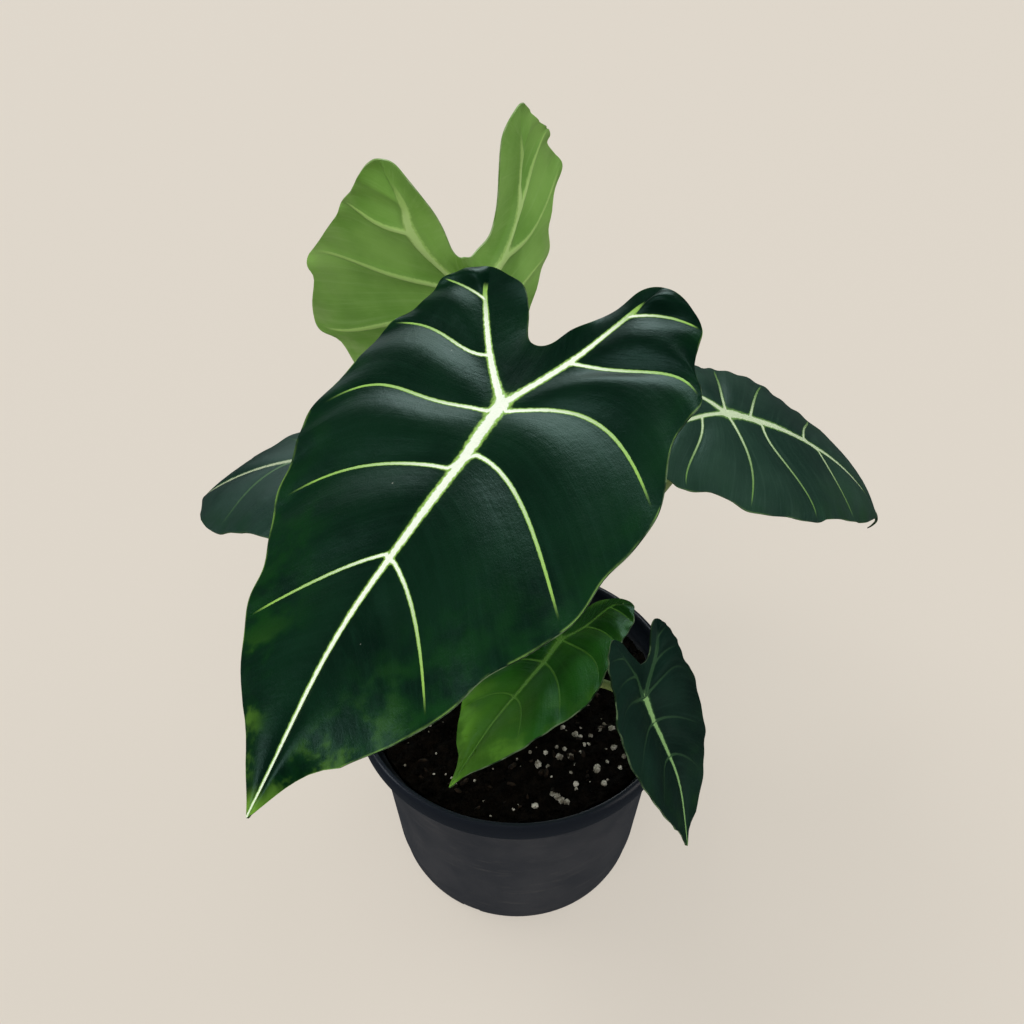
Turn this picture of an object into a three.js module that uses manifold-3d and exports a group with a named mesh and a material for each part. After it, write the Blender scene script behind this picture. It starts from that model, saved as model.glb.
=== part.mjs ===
// Potted Alocasia micholitziana 'Frydek': six arrowhead leaves on petioles, a corm, soil and a nursery pot.
// Millimetres, +Z up. The origin is the middle of the pot's underside, on the pot's axis.
// The plant's front, the side that the big leaf hangs over, is towards -Y.
import * as THREE from 'three';
import * as BufferGeometryUtils from 'three/addons/utils/BufferGeometryUtils.js';
import Module from 'manifold-3d';

const { smoothstep } = THREE.MathUtils;
const wasm = await Module();
wasm.setup();

// Pot: a round six-inch nursery pot, 112 tall and 152 across the rim
const POT_HEIGHT = 112;
const POT_RIM_RADIUS = 76.2;
const POT_FOOT_RADIUS = 59.5;
const POT_WALL = 1.7;
const POT_FLOOR_TOP = 6;
const POT_FLOOR_UNDER = 3;
const POT_PAD_RADIUS = 14;
const POT_FOOT_RING_WIDTH = 6;
const POT_SIDES = 36;
// Outside of the wall from the foot to the rim band, as radius and height
const POT_SIDE = [
  [POT_FOOT_RADIUS, 0], [60.5, 4], [61.0, 8.5], [62.1, 14], [63.0, 26],
  [64.4, 44], [65.8, 62], [67.4, 78], [69.0, 93], [69.5, 98],
];
// Rim band: up its outside, over its top and down its inside
const RIM_BAND = [
  [71.0, 100.4], [74.2, 101.2], [75.6, 102.2], [POT_RIM_RADIUS, 104], [POT_RIM_RADIUS + 0.2, 108.4],
  [75.6, 110.9], [74.4, POT_HEIGHT], [73.5, 111.8], [72.8, 110.4], [72.3, 106.5], [70.4, 102.2],
];
const DRAIN_HOLES = 6;
const DRAIN_HOLE_RADIUS = 4.5;
const DRAIN_RING_RADIUS = 31;
const FOOT_NOTCHES = 4;
const FOOT_NOTCH = { width: 9, height: 2.2 };

// Soil: its level, the flat patch round the plant, its roughness and the perlite grains in it
const SEAT_GAP = 0.3;
const SOIL_LEVEL = 102;
const SOIL_EDGE_DROP = 1.5;
const SOIL_CALM_RADIUS = 21;
const SOIL_ROUGHNESS = 1.3;
const SOIL_RINGS = 9;
const SOIL_FOOT_ROUNDING = 2.5;
const ABOVE_SOIL = SOIL_LEVEL + 9;
const PERLITE_GRAINS = 46;
const PERLITE_RADIUS = { least: 1.5, most: 2.6 };

// Corm: the short rootstock, and the ring on which the petioles stand round it
const CORM_RADIUS = 8;
const CORM_TOP = 109;
const CORM_BOTTOM = 88;
const CORM_SIDES = 16;
const PETIOLE_RING_RADIUS = 13.6;
const PETIOLE_FOOT = 90;
const HOLE_CLEARANCE = 0.5;
const HOLE_SIDES = 12;
const PETIOLE_SIDES = 8;
const PETIOLE_STEPS = 18;
// The petiole stops this far under the midrib, after running square to the blade over its last stretch
const PETIOLE_GAP = 0.8;
const SQUARE_END = 5;

// Blades: a leaf plane has y along the midrib from the navel to the tip and x across it.
// A half leaf is drawn for a leaf of LEAF_LENGTH and scaled to each leaf's own length.
const LEAF_LENGTH = 159;
const BLADE_THICKNESS = 0.9;
const STATIONS = 6;
const NAVEL_STATION = 3;
const LOBE_END = 6;
const NOTCH_DEPTH = 27;
const START_SHARE = 0.06;
const STRAIGHT = [0, 0, 0];
// The margin's waves die away beside the midrib, where both halves meet, and at the lobes' ends
const CALM_WIDTH = 12;
const CALM_STATIONS = 0.9;
// The fold along the midrib is rounded over this distance
const KEEL = 7;
// Mesh of a large and of a little leaf: the rows beside each vein, and the columns from rib to margin
const LITTLE_LEAF = 100;
const ROW_BESIDE_VEIN = { large: 0.11, little: 0.18 };
const COLUMNS = { large: [0, 0.06, 0.3, 0.6, 0.84, 1], little: [0, 0.1, 0.4, 0.75, 1] };
// How far the blade swells between two laterals, and how far its veins stand out under it
const SWELL = 2.6;
const SWELL_SHARPNESS = 1.3;
const RIB_HEIGHT_LEAST = 0.4;
const LOBE_RIB_HEIGHT = 1.6;
const LATERAL_HEIGHT = 0.9;

// Half leaves. rib: where each lateral leaves the ribs, from the lobe rib's end past the navel to the tip.
// outline: the margin at every half station, from the notch's bottom round the lobe's end to the tip.
// courses: how laterals 1 to 5 stray from a straight line to the margin: in all, outwards, and at both ends.
// start: how far along the midrib each lateral leaves it, beyond the point that both halves share.
// drip: how far the margin is drawn in before the tip.
const COMMON = {
  rib: [[36, -47], [32, -40], [18, -19], [0, 0], [0, 26], [0, 66], [0, 159]],
  outline: [
    [0, -25], [5.5, -27], [10.5, -32], [16, -40], [22, -46.5], [30, -51], [38, -53], [49, -50],
    [57, -43], [66, -29], [71.5, -16], [74.5, 5], [75.5, 27], [73, 46], [66.5, 65], [57, 86],
    [43, 108], [23.5, 132], [0, 159],
  ],
  courses: [[-1.5, 0, 0], [-4.5, 0, 0], [-12.5, -9.5, -4], [-9.5, 0, 0], [-10.5, 0, 0]],
  start: [0, 0, 0, 0, 0, 0, 0],
  drip: 0.4,
};
const FRONT_LEFT = {
  ...COMMON,
  rib: [[36.5, -45], [33.8, -37.6], [18.5, -17.2], [0, 0], [0, 24], [0, 65.5], [0, 159]],
  outline: [
    [0, -25], [5, -26.3], [9.5, -30.5], [13.4, -38], [18.5, -45.4], [27.5, -48.5], [37.5, -50.5],
    [47, -48], [57, -41.5], [62.8, -30.5], [72, -18], [74, 3], [76.3, 29.5], [71, 45], [64.5, 65],
    [52, 84], [43, 106], [24, 131], [0, 159],
  ],
  courses: [[-1, 0, 0], [-2.5, -5, 2], [-10.5, -12.5, -11.5], [-11, -5, -3], [-3.5, 1.5, -0.5]],
  start: [0, 0, 0, 4.5, 4.5, -2.5, 0],
  drip: 0.1,
};
const FRONT_RIGHT = {
  ...COMMON,
  rib: [[35, -49.5], [29.7, -42.4], [16, -21.8], [0, 0], [0, 24], [0, 65.5], [0, 159]],
  outline: [
    [0, -25], [6.5, -27.3], [12, -33.7], [17, -38.7], [23, -44.3], [30, -51.7], [38, -54.5],
    [47.5, -52.3], [57.5, -44], [60.5, -33], [70.4, -20.5], [68.3, -7], [76.9, 19], [73.8, 40],
    [73.2, 62.5], [61.5, 83.5], [50, 106.3], [25, 130.5], [0, 159],
  ],
  courses: [[-2, 0, 0], [-4, -6, -3.5], [-16, -0.5, 3], [-8, 4, -1], [-5.5, 0, 0]],
  start: [0, 0, 0, 4, -3, -1, 0],
  drip: 0.35,
};
const BACK_LEFT = {
  ...COMMON,
  rib: [[27, -54], [21, -42.5], [18, -30], [0, 0], [0, 20], [0, 66], [0, 159]],
  outline: [
    [0, -24], [4.3, -28], [8, -36.5], [12, -46], [17.5, -55], [23, -59.7], [28.5, -60.8], [34, -57.8],
    [38.5, -50.5], [42.5, -42.5], [47.5, -35.5], [53, -24], [73, 1.5], [73, 17], [77.3, 48.5],
    [63.5, 60], [47, 97], [25, 130], [0, 159],
  ],
  courses: [[0, 0, 0], [2, -0.5, -4], [-3, -2, -11], [-6.5, 13, 3.5], [-6.5, 1, -0.5]],
};
const BACK_RIGHT = {
  ...COMMON,
  rib: [[45, -52], [46, -36], [38, -15.5], [0, 0], [0, 20], [0, 66], [0, 159]],
  outline: [
    [0, -24], [7, -21], [17, -21.7], [24, -31], [30, -49.5], [36.5, -58.5], [44, -61.5], [52, -56.7],
    [58.5, -47.7], [65, -39.7], [72.5, -31], [76, -19.5], [81.5, -6], [64, 5.5], [59.5, 25], [48, 43],
    [42, 86], [24, 127], [0, 159],
  ],
  courses: [[0, 0, 0], [-1.5, -6.5, -4.5], [3.5, 9.5, -18], [-1, 0, 0], [-5.5, 0, 0]],
};
const YOUNG_RIGHT = {
  ...COMMON,
  rib: [[42, -49], [30, -43], [17, -18], [0, 0], [0, 26], [0, 66], [0, 162]],
  outline: [
    [0, -36], [5, -39], [12, -46], [22, -51.5], [33, -54.5], [46, -53.5], [54.5, -50], [60, -43],
    [64.5, -34], [66.5, -21], [68, -8], [72, 14], [77, 36], [76.5, 55], [68, 75], [58, 94], [46, 112],
    [20, 136], [0, 162],
  ],
};
const YOUNG_LEFT = {
  ...COMMON,
  rib: [[36, -47], [32, -40], [18, -19], [0, 0], [0, 26], [0, 66], [0, 162]],
  outline: [
    [0, -36], [5.5, -38], [10.5, -41], [16, -45], [22, -49], [30, -52], [38, -53], [49, -50],
    [57, -43], [66, -29], [71.5, -16], [74.5, 5], [75.5, 27], [73, 44], [64, 62], [53, 79], [43, 95],
    [23, 125], [0, 162],
  ],
};
const SMALL_LEFT = {
  ...COMMON,
  rib: [[38, -64], [31, -48], [17.5, -24], [0, 0], [0, 26], [0, 66], [0, 157]],
  outline: [
    [0, -28], [4.5, -34], [10, -43], [15.5, -51], [22.5, -58.5], [31, -66], [40.5, -71], [53, -68.5],
    [64.5, -59], [69, -46], [72, -31], [78, -15], [74, 3], [75.5, 25], [70.5, 52], [65, 74], [54, 97],
    [30, 124], [0, 157],
  ],
  drip: 0.3,
};
const SMALL_RIGHT = {
  ...COMMON,
  rib: [[38, -51], [33, -40], [18, -20], [0, 0], [0, 26], [0, 66], [0, 157]],
  outline: [
    [0, -28], [9.5, -27.5], [18.5, -33], [23.5, -40.5], [28, -47.5], [33, -54.5], [40.5, -56.5],
    [47.5, -50.5], [53, -43], [57, -31], [60, -19], [68.5, -3], [75, 13], [70.5, 37], [60.5, 67],
    [47, 85], [37, 107], [21, 134], [0, 157],
  ],
  drip: 0.3,
};
const RIGHT_NEAR = {
  ...COMMON,
  rib: [[28, -47], [20, -37], [8, -18], [0, 0], [0, 20], [0, 65], [0, 159]],
  outline: [
    [0, -25], [3, -27.5], [6, -33], [10, -41], [15, -49], [24, -55], [34, -56], [46, -54], [56, -49],
    [64, -41], [70, -29.5], [69.4, -10], [76.6, 14.5], [71.5, 44], [66, 69], [57, 82.5], [40, 113.5],
    [26.5, 133.5], [0, 159],
  ],
  courses: [[-1.5, 0, 0], [0, -6.5, -1], [7.5, 1, -2], [-3, 14, 3.5], [-2.5, 4, -2]],
  start: [0, 0, 0, 0, 6.5, 8.5, 0],
  drip: 0,
};
const RIGHT_FAR = {
  ...COMMON,
  rib: [[36, -47], [32, -40], [18, -19], [0, 0], [0, 20], [0, 65], [0, 159]],
  outline: [
    [0, -25], [5.5, -27], [10.5, -32], [16, -40], [22, -46.5], [30, -51], [38, -53], [49, -50],
    [57, -43], [66, -33], [70, -24], [73, -8], [75, 7], [73, 27], [67.5, 47.5], [59, 66], [54, 88.5],
    [34, 121], [0, 159],
  ],
  courses: [[-1.5, 0, 0], [-3, 0, 0], [-1, 0, -1.5], [-3, -1.5, -0.5], [-2, 4, 1]],
  start: [0, 0, 0, 0, -3, -4, 0],
  drip: 0.1,
};
const LEFT_NEAR = {
  ...COMMON,
  outline: [
    [0, -25], [5.5, -27], [10.5, -32], [16, -40], [22, -46.5], [30, -51], [38, -53], [49, -50],
    [57, -43], [66, -29], [71.5, -16], [74.5, 5], [75.5, 27], [72, 45], [65, 66], [60.3, 86],
    [54, 109], [33, 136.7], [0, 159],
  ],
  courses: [[-1.5, 0, 0], [-4.5, 0, 0], [-12.5, -9.5, -4], [-9.5, 0, 0], [8, -8, 0]],
  start: [0, 0, 0, 0, 0, 5, 0],
  drip: 0,
};

// Leaves: where each navel is, which way the tip points, how the blade tilts and bends, and its petiole.
// heading, slope and roll are in degrees; droop, lobeLift and cup are bends in radians per metre.
// bow carries the middle of the midrib to one side and skew does the same to the notch.
const LEAVES = [
  {
    name: 'front', length: 159, navel: [-6, -23, 297], heading: 233.7, slope: -24, roll: -18.3,
    droop: 0.9, lobeLift: 6, fold: [0.7, -5.4], cup: [2.4, -0.2], bow: 5.6, skew: 0,
    wave: 1.6, waves: 2.5, halves: [FRONT_LEFT, FRONT_RIGHT], midrib: 2.4,
    laterals: [1, 2, 3, 4, 5],
    petiole: {
      angle: 215, foot: 4.6, top: 2.9,
      route: [[-10, -5, 125], [-9, -1, 195], [-2, -13, 262]],
    },
  },
  {
    name: 'back', length: 181, navel: [-17, 95, 262], heading: 93.6, slope: -77.7, roll: 17.6,
    droop: -1, lobeLift: 0.2, fold: [38, 38], cup: [2, 2], bow: 0, skew: -6.5,
    wave: 1.5, waves: 2.6, halves: [BACK_RIGHT, BACK_LEFT], midrib: 2.4,
    laterals: [2, 3, 4, 5],
    petiole: {
      angle: 75, foot: 4.6, top: 2.9,
      route: [[5, 15, 125], [11, 28, 180], [9, 52, 228], [-4, 74, 252]],
    },
  },
  {
    name: 'right', length: 105, navel: [92, 63, 224], heading: -0.7, slope: -13, roll: 0,
    droop: 8.3, lobeLift: -1.4, fold: [-5.4, -5.4], cup: [-4.9, -4.9], bow: 0, skew: 0,
    wave: 1.2, waves: 3.1, halves: [RIGHT_NEAR, RIGHT_FAR], midrib: 1.8,
    laterals: [1, 2, 3, 4, 5],
    petiole: {
      angle: 15, foot: 3.9, top: 2.3,
      route: [[17, 7, 125], [38, 24, 165], [66, 46, 198], [86, 61, 213]],
    },
  },
  {
    name: 'left', length: 111, navel: [-52.5, 30.5, 225.5], heading: 162.3, slope: -7, roll: -4,
    droop: 6, lobeLift: 1.2, fold: [-2.3, -2.3], cup: [-4.9, -4.9], bow: 0, skew: 0,
    wave: 1.2, waves: 2.7, halves: [COMMON, LEFT_NEAR], midrib: 1.8,
    laterals: [1, 2, 3, 4, 5],
    petiole: {
      angle: 150, foot: 4.1, top: 2.5,
      route: [[-15, 9, 125], [-28, 17, 165], [-43, 25, 202]],
    },
  },
  {
    name: 'young', length: 72, navel: [17.1, -37.5, 189.1], heading: 233.5, slope: -16.6, roll: -27,
    droop: -1, lobeLift: -0.5, fold: [4.4, 4.4], cup: [-2.2, -2.2], bow: 6.5, skew: 0,
    wave: 0.8, waves: 2.5, halves: [YOUNG_LEFT, YOUNG_RIGHT], midrib: 1.2,
    laterals: [1, 2, 3, 4, 5],
    petiole: {
      angle: 270, foot: 2.6, top: 1.6,
      route: [[1, -15, 122], [7, -23, 150], [13, -33, 175]],
    },
  },
  {
    name: 'small', length: 65, navel: [47.6, -68.8, 192.6], heading: 303.5, slope: -51.8, roll: 28.4,
    droop: 2.3, lobeLift: 0.1, fold: [11, 11], cup: [-1.7, -1.7], bow: -11.5, skew: -12.4,
    wave: 0.7, waves: 2.5, halves: [SMALL_LEFT, SMALL_RIGHT], midrib: 1.2,
    laterals: [1, 2, 3, 4, 5],
    petiole: {
      angle: 318, foot: 2.5, top: 1.5,
      route: [[12, -12, 122], [23, -28, 148], [34, -46, 172], [41, -62, 186]],
    },
  },
];

function plastic(color, roughness) {
  return new THREE.MeshStandardMaterial({ color, roughness, metalness: 0 });
}

const MATERIALS = {
  pot: plastic(0x34353a, 0.45),
  soil: plastic(0x1d1510, 0.95),
  corm: plastic(0x5a4a36, 0.9),
  dark: plastic(0x17352b, 0.55),
  pale: plastic(0x6f9a44, 0.6),
  bright: plastic(0x2f6d2a, 0.45),
  petiole: plastic(0x9bb26a, 0.5),
};

// Closed triangle meshes to solids and back, for the cuts and joins; a cut's loose scraps are dropped
function solidOf(geometry) {
  const bare = geometry.clone();
  bare.deleteAttribute('normal');
  bare.deleteAttribute('uv');
  const merged = BufferGeometryUtils.mergeVertices(bare, 1e-4);
  return new wasm.Manifold(new wasm.Mesh({
    numProp: 3,
    vertProperties: new Float32Array(merged.attributes.position.array),
    triVerts: new Uint32Array(merged.index.array),
  }));
}

function geometryOf(solid) {
  const mesh = solid.decompose().sort((a, b) => b.volume() - a.volume())[0].getMesh();
  const geometry = new THREE.BufferGeometry();
  geometry.setAttribute('position', new THREE.BufferAttribute(new Float32Array(mesh.vertProperties), 3));
  geometry.setIndex(new THREE.BufferAttribute(new Uint32Array(mesh.triVerts), 1));
  return geometry;
}

function seededRandom(seed) {
  let state = seed;
  return () => {
    state = (state * 1664525 + 1013904223) % 4294967296;
    return state / 4294967296;
  };
}

// A turned shape about +Z from radius and height pairs
function turned(profile, sides) {
  const points = profile.map(([radius, height]) => new THREE.Vector2(radius, height));
  return new THREE.LatheGeometry(points, sides).rotateX(Math.PI / 2);
}

function uprightCylinder(radius, bottom, top, sides, x, y) {
  const cylinder = new THREE.CylinderGeometry(radius, radius, top - bottom, sides);
  return cylinder.rotateX(Math.PI / 2).translate(x, y, (top + bottom) / 2);
}

// Outside radius of the pot's wall at a height
function wallRadius(height) {
  for (let i = 1; i < POT_SIDE.length; i += 1) {
    const [r0, z0] = POT_SIDE[i - 1];
    const [r1, z1] = POT_SIDE[i];
    if (height <= z1) {
      return r0 + (r1 - r0) * (height - z0) / (z1 - z0);
    }
  }
  return POT_SIDE.at(-1)[0];
}

// Pot: a turned shell with a pad and a foot ring under it, drain holes in its floor and notches in its foot
function makePot() {
  const inside = POT_SIDE.slice(2).reverse().map(([radius, height]) => [radius - POT_WALL, height]);
  const ringInner = POT_FOOT_RADIUS - POT_FOOT_RING_WIDTH;
  const profile = [
    [0, 0], [POT_PAD_RADIUS, 0], [POT_PAD_RADIUS + 2, POT_FLOOR_UNDER], [ringInner - 2, POT_FLOOR_UNDER],
    [ringInner, 0], ...POT_SIDE, ...RIM_BAND, ...inside,
    [wallRadius(POT_FLOOR_TOP) - POT_WALL - 1.5, POT_FLOOR_TOP], [0, POT_FLOOR_TOP],
  ];
  let pot = solidOf(turned(profile, POT_SIDES));
  for (let i = 0; i < DRAIN_HOLES; i += 1) {
    const angle = 2 * Math.PI * (i + 0.5) / DRAIN_HOLES;
    const x = DRAIN_RING_RADIUS * Math.cos(angle);
    const y = DRAIN_RING_RADIUS * Math.sin(angle);
    pot = pot.subtract(solidOf(uprightCylinder(DRAIN_HOLE_RADIUS, -1, POT_FLOOR_TOP + 1, HOLE_SIDES, x, y)));
  }
  for (let i = 0; i < FOOT_NOTCHES; i += 1) {
    const notch = new THREE.BoxGeometry(POT_FOOT_RING_WIDTH * 3, FOOT_NOTCH.width, FOOT_NOTCH.height * 2);
    notch.translate(POT_FOOT_RADIUS, 0, 0).rotateZ(2 * Math.PI * (i + 0.75) / FOOT_NOTCHES);
    pot = pot.subtract(solidOf(notch));
  }
  return geometryOf(pot);
}

function petioleFoot({ petiole }) {
  const angle = THREE.MathUtils.degToRad(petiole.angle);
  return [PETIOLE_RING_RADIUS * Math.cos(angle), PETIOLE_RING_RADIUS * Math.sin(angle)];
}

// Height of the soil's top: flat round the plant, lumpy further out, lower at the wall
function soilHeight(x, y) {
  const radius = Math.hypot(x, y);
  const rough = smoothstep(radius, SOIL_CALM_RADIUS, SOIL_CALM_RADIUS + 14);
  const lumps = Math.sin(0.31 * x + 1.3) * Math.cos(0.27 * y - 0.6) + 0.6 * Math.sin(0.53 * x - 0.47 * y);
  const edgeDrop = SOIL_EDGE_DROP * (radius / wallRadius(SOIL_LEVEL)) ** 4;
  return SOIL_LEVEL + SOIL_ROUGHNESS * rough * lumps - edgeDrop;
}

// Soil: a plug that fills the pot, with the perlite grains standing out of it and a plain hole for each stem
function makeSoil() {
  const topRadius = wallRadius(SOIL_LEVEL - 4) - POT_WALL - SEAT_GAP;
  const levels = [93, 78, 62, 44, 26, 14, 8.5].map((z) => [wallRadius(z) - POT_WALL - SEAT_GAP, z]);
  const rings = Array.from({ length: SOIL_RINGS + 1 }, (_, i) => [topRadius * i / SOIL_RINGS, SOIL_LEVEL]);
  const bottom = POT_FLOOR_TOP + SEAT_GAP;
  const floorEdge = wallRadius(bottom) - POT_WALL - SEAT_GAP - SOIL_FOOT_ROUNDING;
  const profile = [...rings, ...levels, [floorEdge, bottom], [0, bottom]];
  const geometry = turned(profile.reverse(), POT_SIDES);
  const position = geometry.attributes.position;
  for (let i = 0; i < position.count; i += 1) {
    if (position.getZ(i) > SOIL_LEVEL - 1) {
      position.setZ(i, soilHeight(position.getX(i), position.getY(i)));
    }
  }
  let soil = solidOf(geometry);
  const random = seededRandom(7);
  for (let i = 0; i < PERLITE_GRAINS; i += 1) {
    const angle = 2 * Math.PI * random();
    const distance = SOIL_CALM_RADIUS + 3 + (topRadius - SOIL_CALM_RADIUS - 7) * Math.sqrt(random());
    const size = PERLITE_RADIUS.least + (PERLITE_RADIUS.most - PERLITE_RADIUS.least) * random();
    const x = distance * Math.cos(angle);
    const y = distance * Math.sin(angle);
    const grain = new THREE.IcosahedronGeometry(size, 0).rotateX(6 * random()).rotateY(6 * random());
    soil = soil.add(solidOf(grain.translate(x, y, soilHeight(x, y))));
  }
  const corm = uprightCylinder(CORM_RADIUS + SEAT_GAP, CORM_BOTTOM - SEAT_GAP, ABOVE_SOIL, CORM_SIDES, 0, 0);
  soil = soil.subtract(solidOf(corm));
  for (const leaf of LEAVES) {
    const [x, y] = petioleFoot(leaf);
    const radius = leaf.petiole.foot + HOLE_CLEARANCE;
    const hole = uprightCylinder(radius, PETIOLE_FOOT - SEAT_GAP, ABOVE_SOIL, HOLE_SIDES, x, y);
    soil = soil.subtract(solidOf(hole));
  }
  return geometryOf(soil);
}

// Corm: a stub with a rounded, ringed top
function makeCorm() {
  return turned([
    [0, CORM_BOTTOM], [CORM_RADIUS - 1.5, CORM_BOTTOM], [CORM_RADIUS - 0.2, CORM_BOTTOM + 3],
    [CORM_RADIUS - 0.2, SOIL_LEVEL + 1], [CORM_RADIUS - 1, SOIL_LEVEL + 2],
    [CORM_RADIUS - 0.8, SOIL_LEVEL + 3.5], [CORM_RADIUS - 2.4, SOIL_LEVEL + 5.5],
    [CORM_RADIUS - 5.5, CORM_TOP], [0, CORM_TOP + 0.6],
  ], CORM_SIDES);
}

// A leaf's own axes: across, along the midrib to the tip, and out of the upper face
function leafAxes({ heading, slope, roll }) {
  const h = THREE.MathUtils.degToRad(heading);
  const s = THREE.MathUtils.degToRad(slope);
  const r = THREE.MathUtils.degToRad(roll);
  const along = new THREE.Vector3(Math.cos(s) * Math.cos(h), Math.cos(s) * Math.sin(h), Math.sin(s));
  const level = new THREE.Vector3(Math.sin(h), -Math.cos(h), 0);
  const lift = new THREE.Vector3().crossVectors(level, along);
  const across = level.clone().multiplyScalar(Math.cos(r)).addScaledVector(lift, Math.sin(r));
  const up = new THREE.Vector3().crossVectors(across, along);
  return { across, along, up };
}

// How far to one side the midrib, or below the navel the notch, stands in the leaf plane
function sideways({ length, bow, skew }, y) {
  const scale = length / LEAF_LENGTH;
  const ahead = THREE.MathUtils.clamp(y / length, 0, 1) ** 1.25;
  const behind = smoothstep(-y / scale, 0, NOTCH_DEPTH);
  return scale * (bow * Math.sin(Math.PI * ahead) ** 2 + skew * behind);
}

// The bent leaf surface: arcs along the midrib and across each half carry a leaf-plane point into space
function leafSurface(leaf) {
  const { across, along, up } = leafAxes(leaf);
  const navel = new THREE.Vector3(...leaf.navel);
  return (x, y) => {
    const side = x < 0 ? 1 : 0;
    const bend = (y > 0 ? leaf.droop : -leaf.lobeLift) / 1000;
    const tilt = -bend * y;
    const reach = Math.sin(bend * y) / bend;
    const drop = (Math.cos(bend * y) - 1) / bend;
    const cup = leaf.cup[side] / 1000;
    const fold = THREE.MathUtils.degToRad(leaf.fold[side]);
    const reached = Math.abs(x);
    const width = Math.sign(x) * (Math.sin(fold + cup * reached) - Math.sin(fold)) / cup + sideways(leaf, y);
    const climbed = reached * (1 - Math.exp(-((reached / KEEL) ** 2)));
    const rise = (Math.cos(fold) - Math.cos(fold + cup * climbed)) / cup;
    return navel.clone()
      .addScaledVector(across, width)
      .addScaledVector(along, reach - Math.sin(tilt) * rise)
      .addScaledVector(up, drop + Math.cos(tilt) * rise);
  };
}

// A smooth curve through listed points, read at a station
function smoothThrough(points, at) {
  const last = points.length - 1;
  const i = Math.min(Math.floor(at), last - 1);
  const t = at - i;
  const p = [points[Math.max(i - 1, 0)], points[i], points[i + 1], points[Math.min(i + 2, last)]];
  return [0, 1].map((k) => {
    const tangent0 = (p[2][k] - p[0][k]) / 2;
    const tangent1 = (p[3][k] - p[1][k]) / 2;
    const a = 2 * t ** 3 - 3 * t ** 2 + 1;
    const b = t ** 3 - 2 * t ** 2 + t;
    const c = 3 * t ** 2 - 2 * t ** 3;
    const d = t ** 3 - t ** 2;
    return a * p[1][k] + b * tangent0 + c * p[2][k] + d * tangent1;
  });
}

function ribPoint(half, station) {
  if (station >= NAVEL_STATION) {
    return smoothThrough(half.rib.slice(NAVEL_STATION), station - NAVEL_STATION);
  }
  return smoothThrough(half.rib.slice(0, NAVEL_STATION + 1), station);
}

function valueAt(list, station) {
  const i = Math.min(Math.floor(station), list.length - 2);
  return list[i] + (list[i + 1] - list[i]) * (station - i);
}

// A point of a half leaf: station counts the lateral veins, share runs from the rib to the margin.
// The outline starts with the mirror image of its second point, so that the notch's bottom is round.
function halfLeafPoint(half, station, share, inNotch) {
  const [mirrorX, mirrorY] = half.outline[1];
  const rib = ribPoint(half, station);
  const place = LOBE_END + 1 + 2 * station * (inNotch ? -1 : 1);
  const edge = smoothThrough([[-mirrorX, mirrorY], ...half.outline], place);
  const lastStretch = THREE.MathUtils.clamp(2 * (station - STATIONS) + 1, 0, 1);
  const drawnIn = 1 - half.drip * Math.sin(Math.PI * lastStretch);
  const courses = [STRAIGHT, ...half.courses, STRAIGHT];
  const [all, outwards, ends] = [0, 1, 2].map((i) => valueAt(courses.map((course) => course[i]), station));
  const beyondMiddle = 2 * share - 1;
  const stray = 4 * share * (1 - share) * (all + outwards * beyondMiddle + ends * beyondMiddle ** 2);
  const start = valueAt(half.start, station) * smoothstep(share, 0, START_SHARE) * (1 - share);
  return [
    rib[0] + (edge[0] * drawnIn - rib[0]) * share,
    rib[1] + (edge[1] - rib[1]) * share + (inNotch ? 0 : stray + start),
  ];
}

// Stations of the mesh's rows: two of them lie close beside each lateral vein, so that it stands up as a rib
function meshStations(fine) {
  const beside = fine ? ROW_BESIDE_VEIN.large : ROW_BESIDE_VEIN.little;
  const rows = [0, 0.5];
  for (let i = 1; i < STATIONS; i += 1) {
    rows.push(i - beside, i, i + beside);
    if (fine || i === STATIONS - 1) {
      rows.push(i + 0.5);
    }
  }
  return [...rows, STATIONS - 0.25, STATIONS];
}

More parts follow.
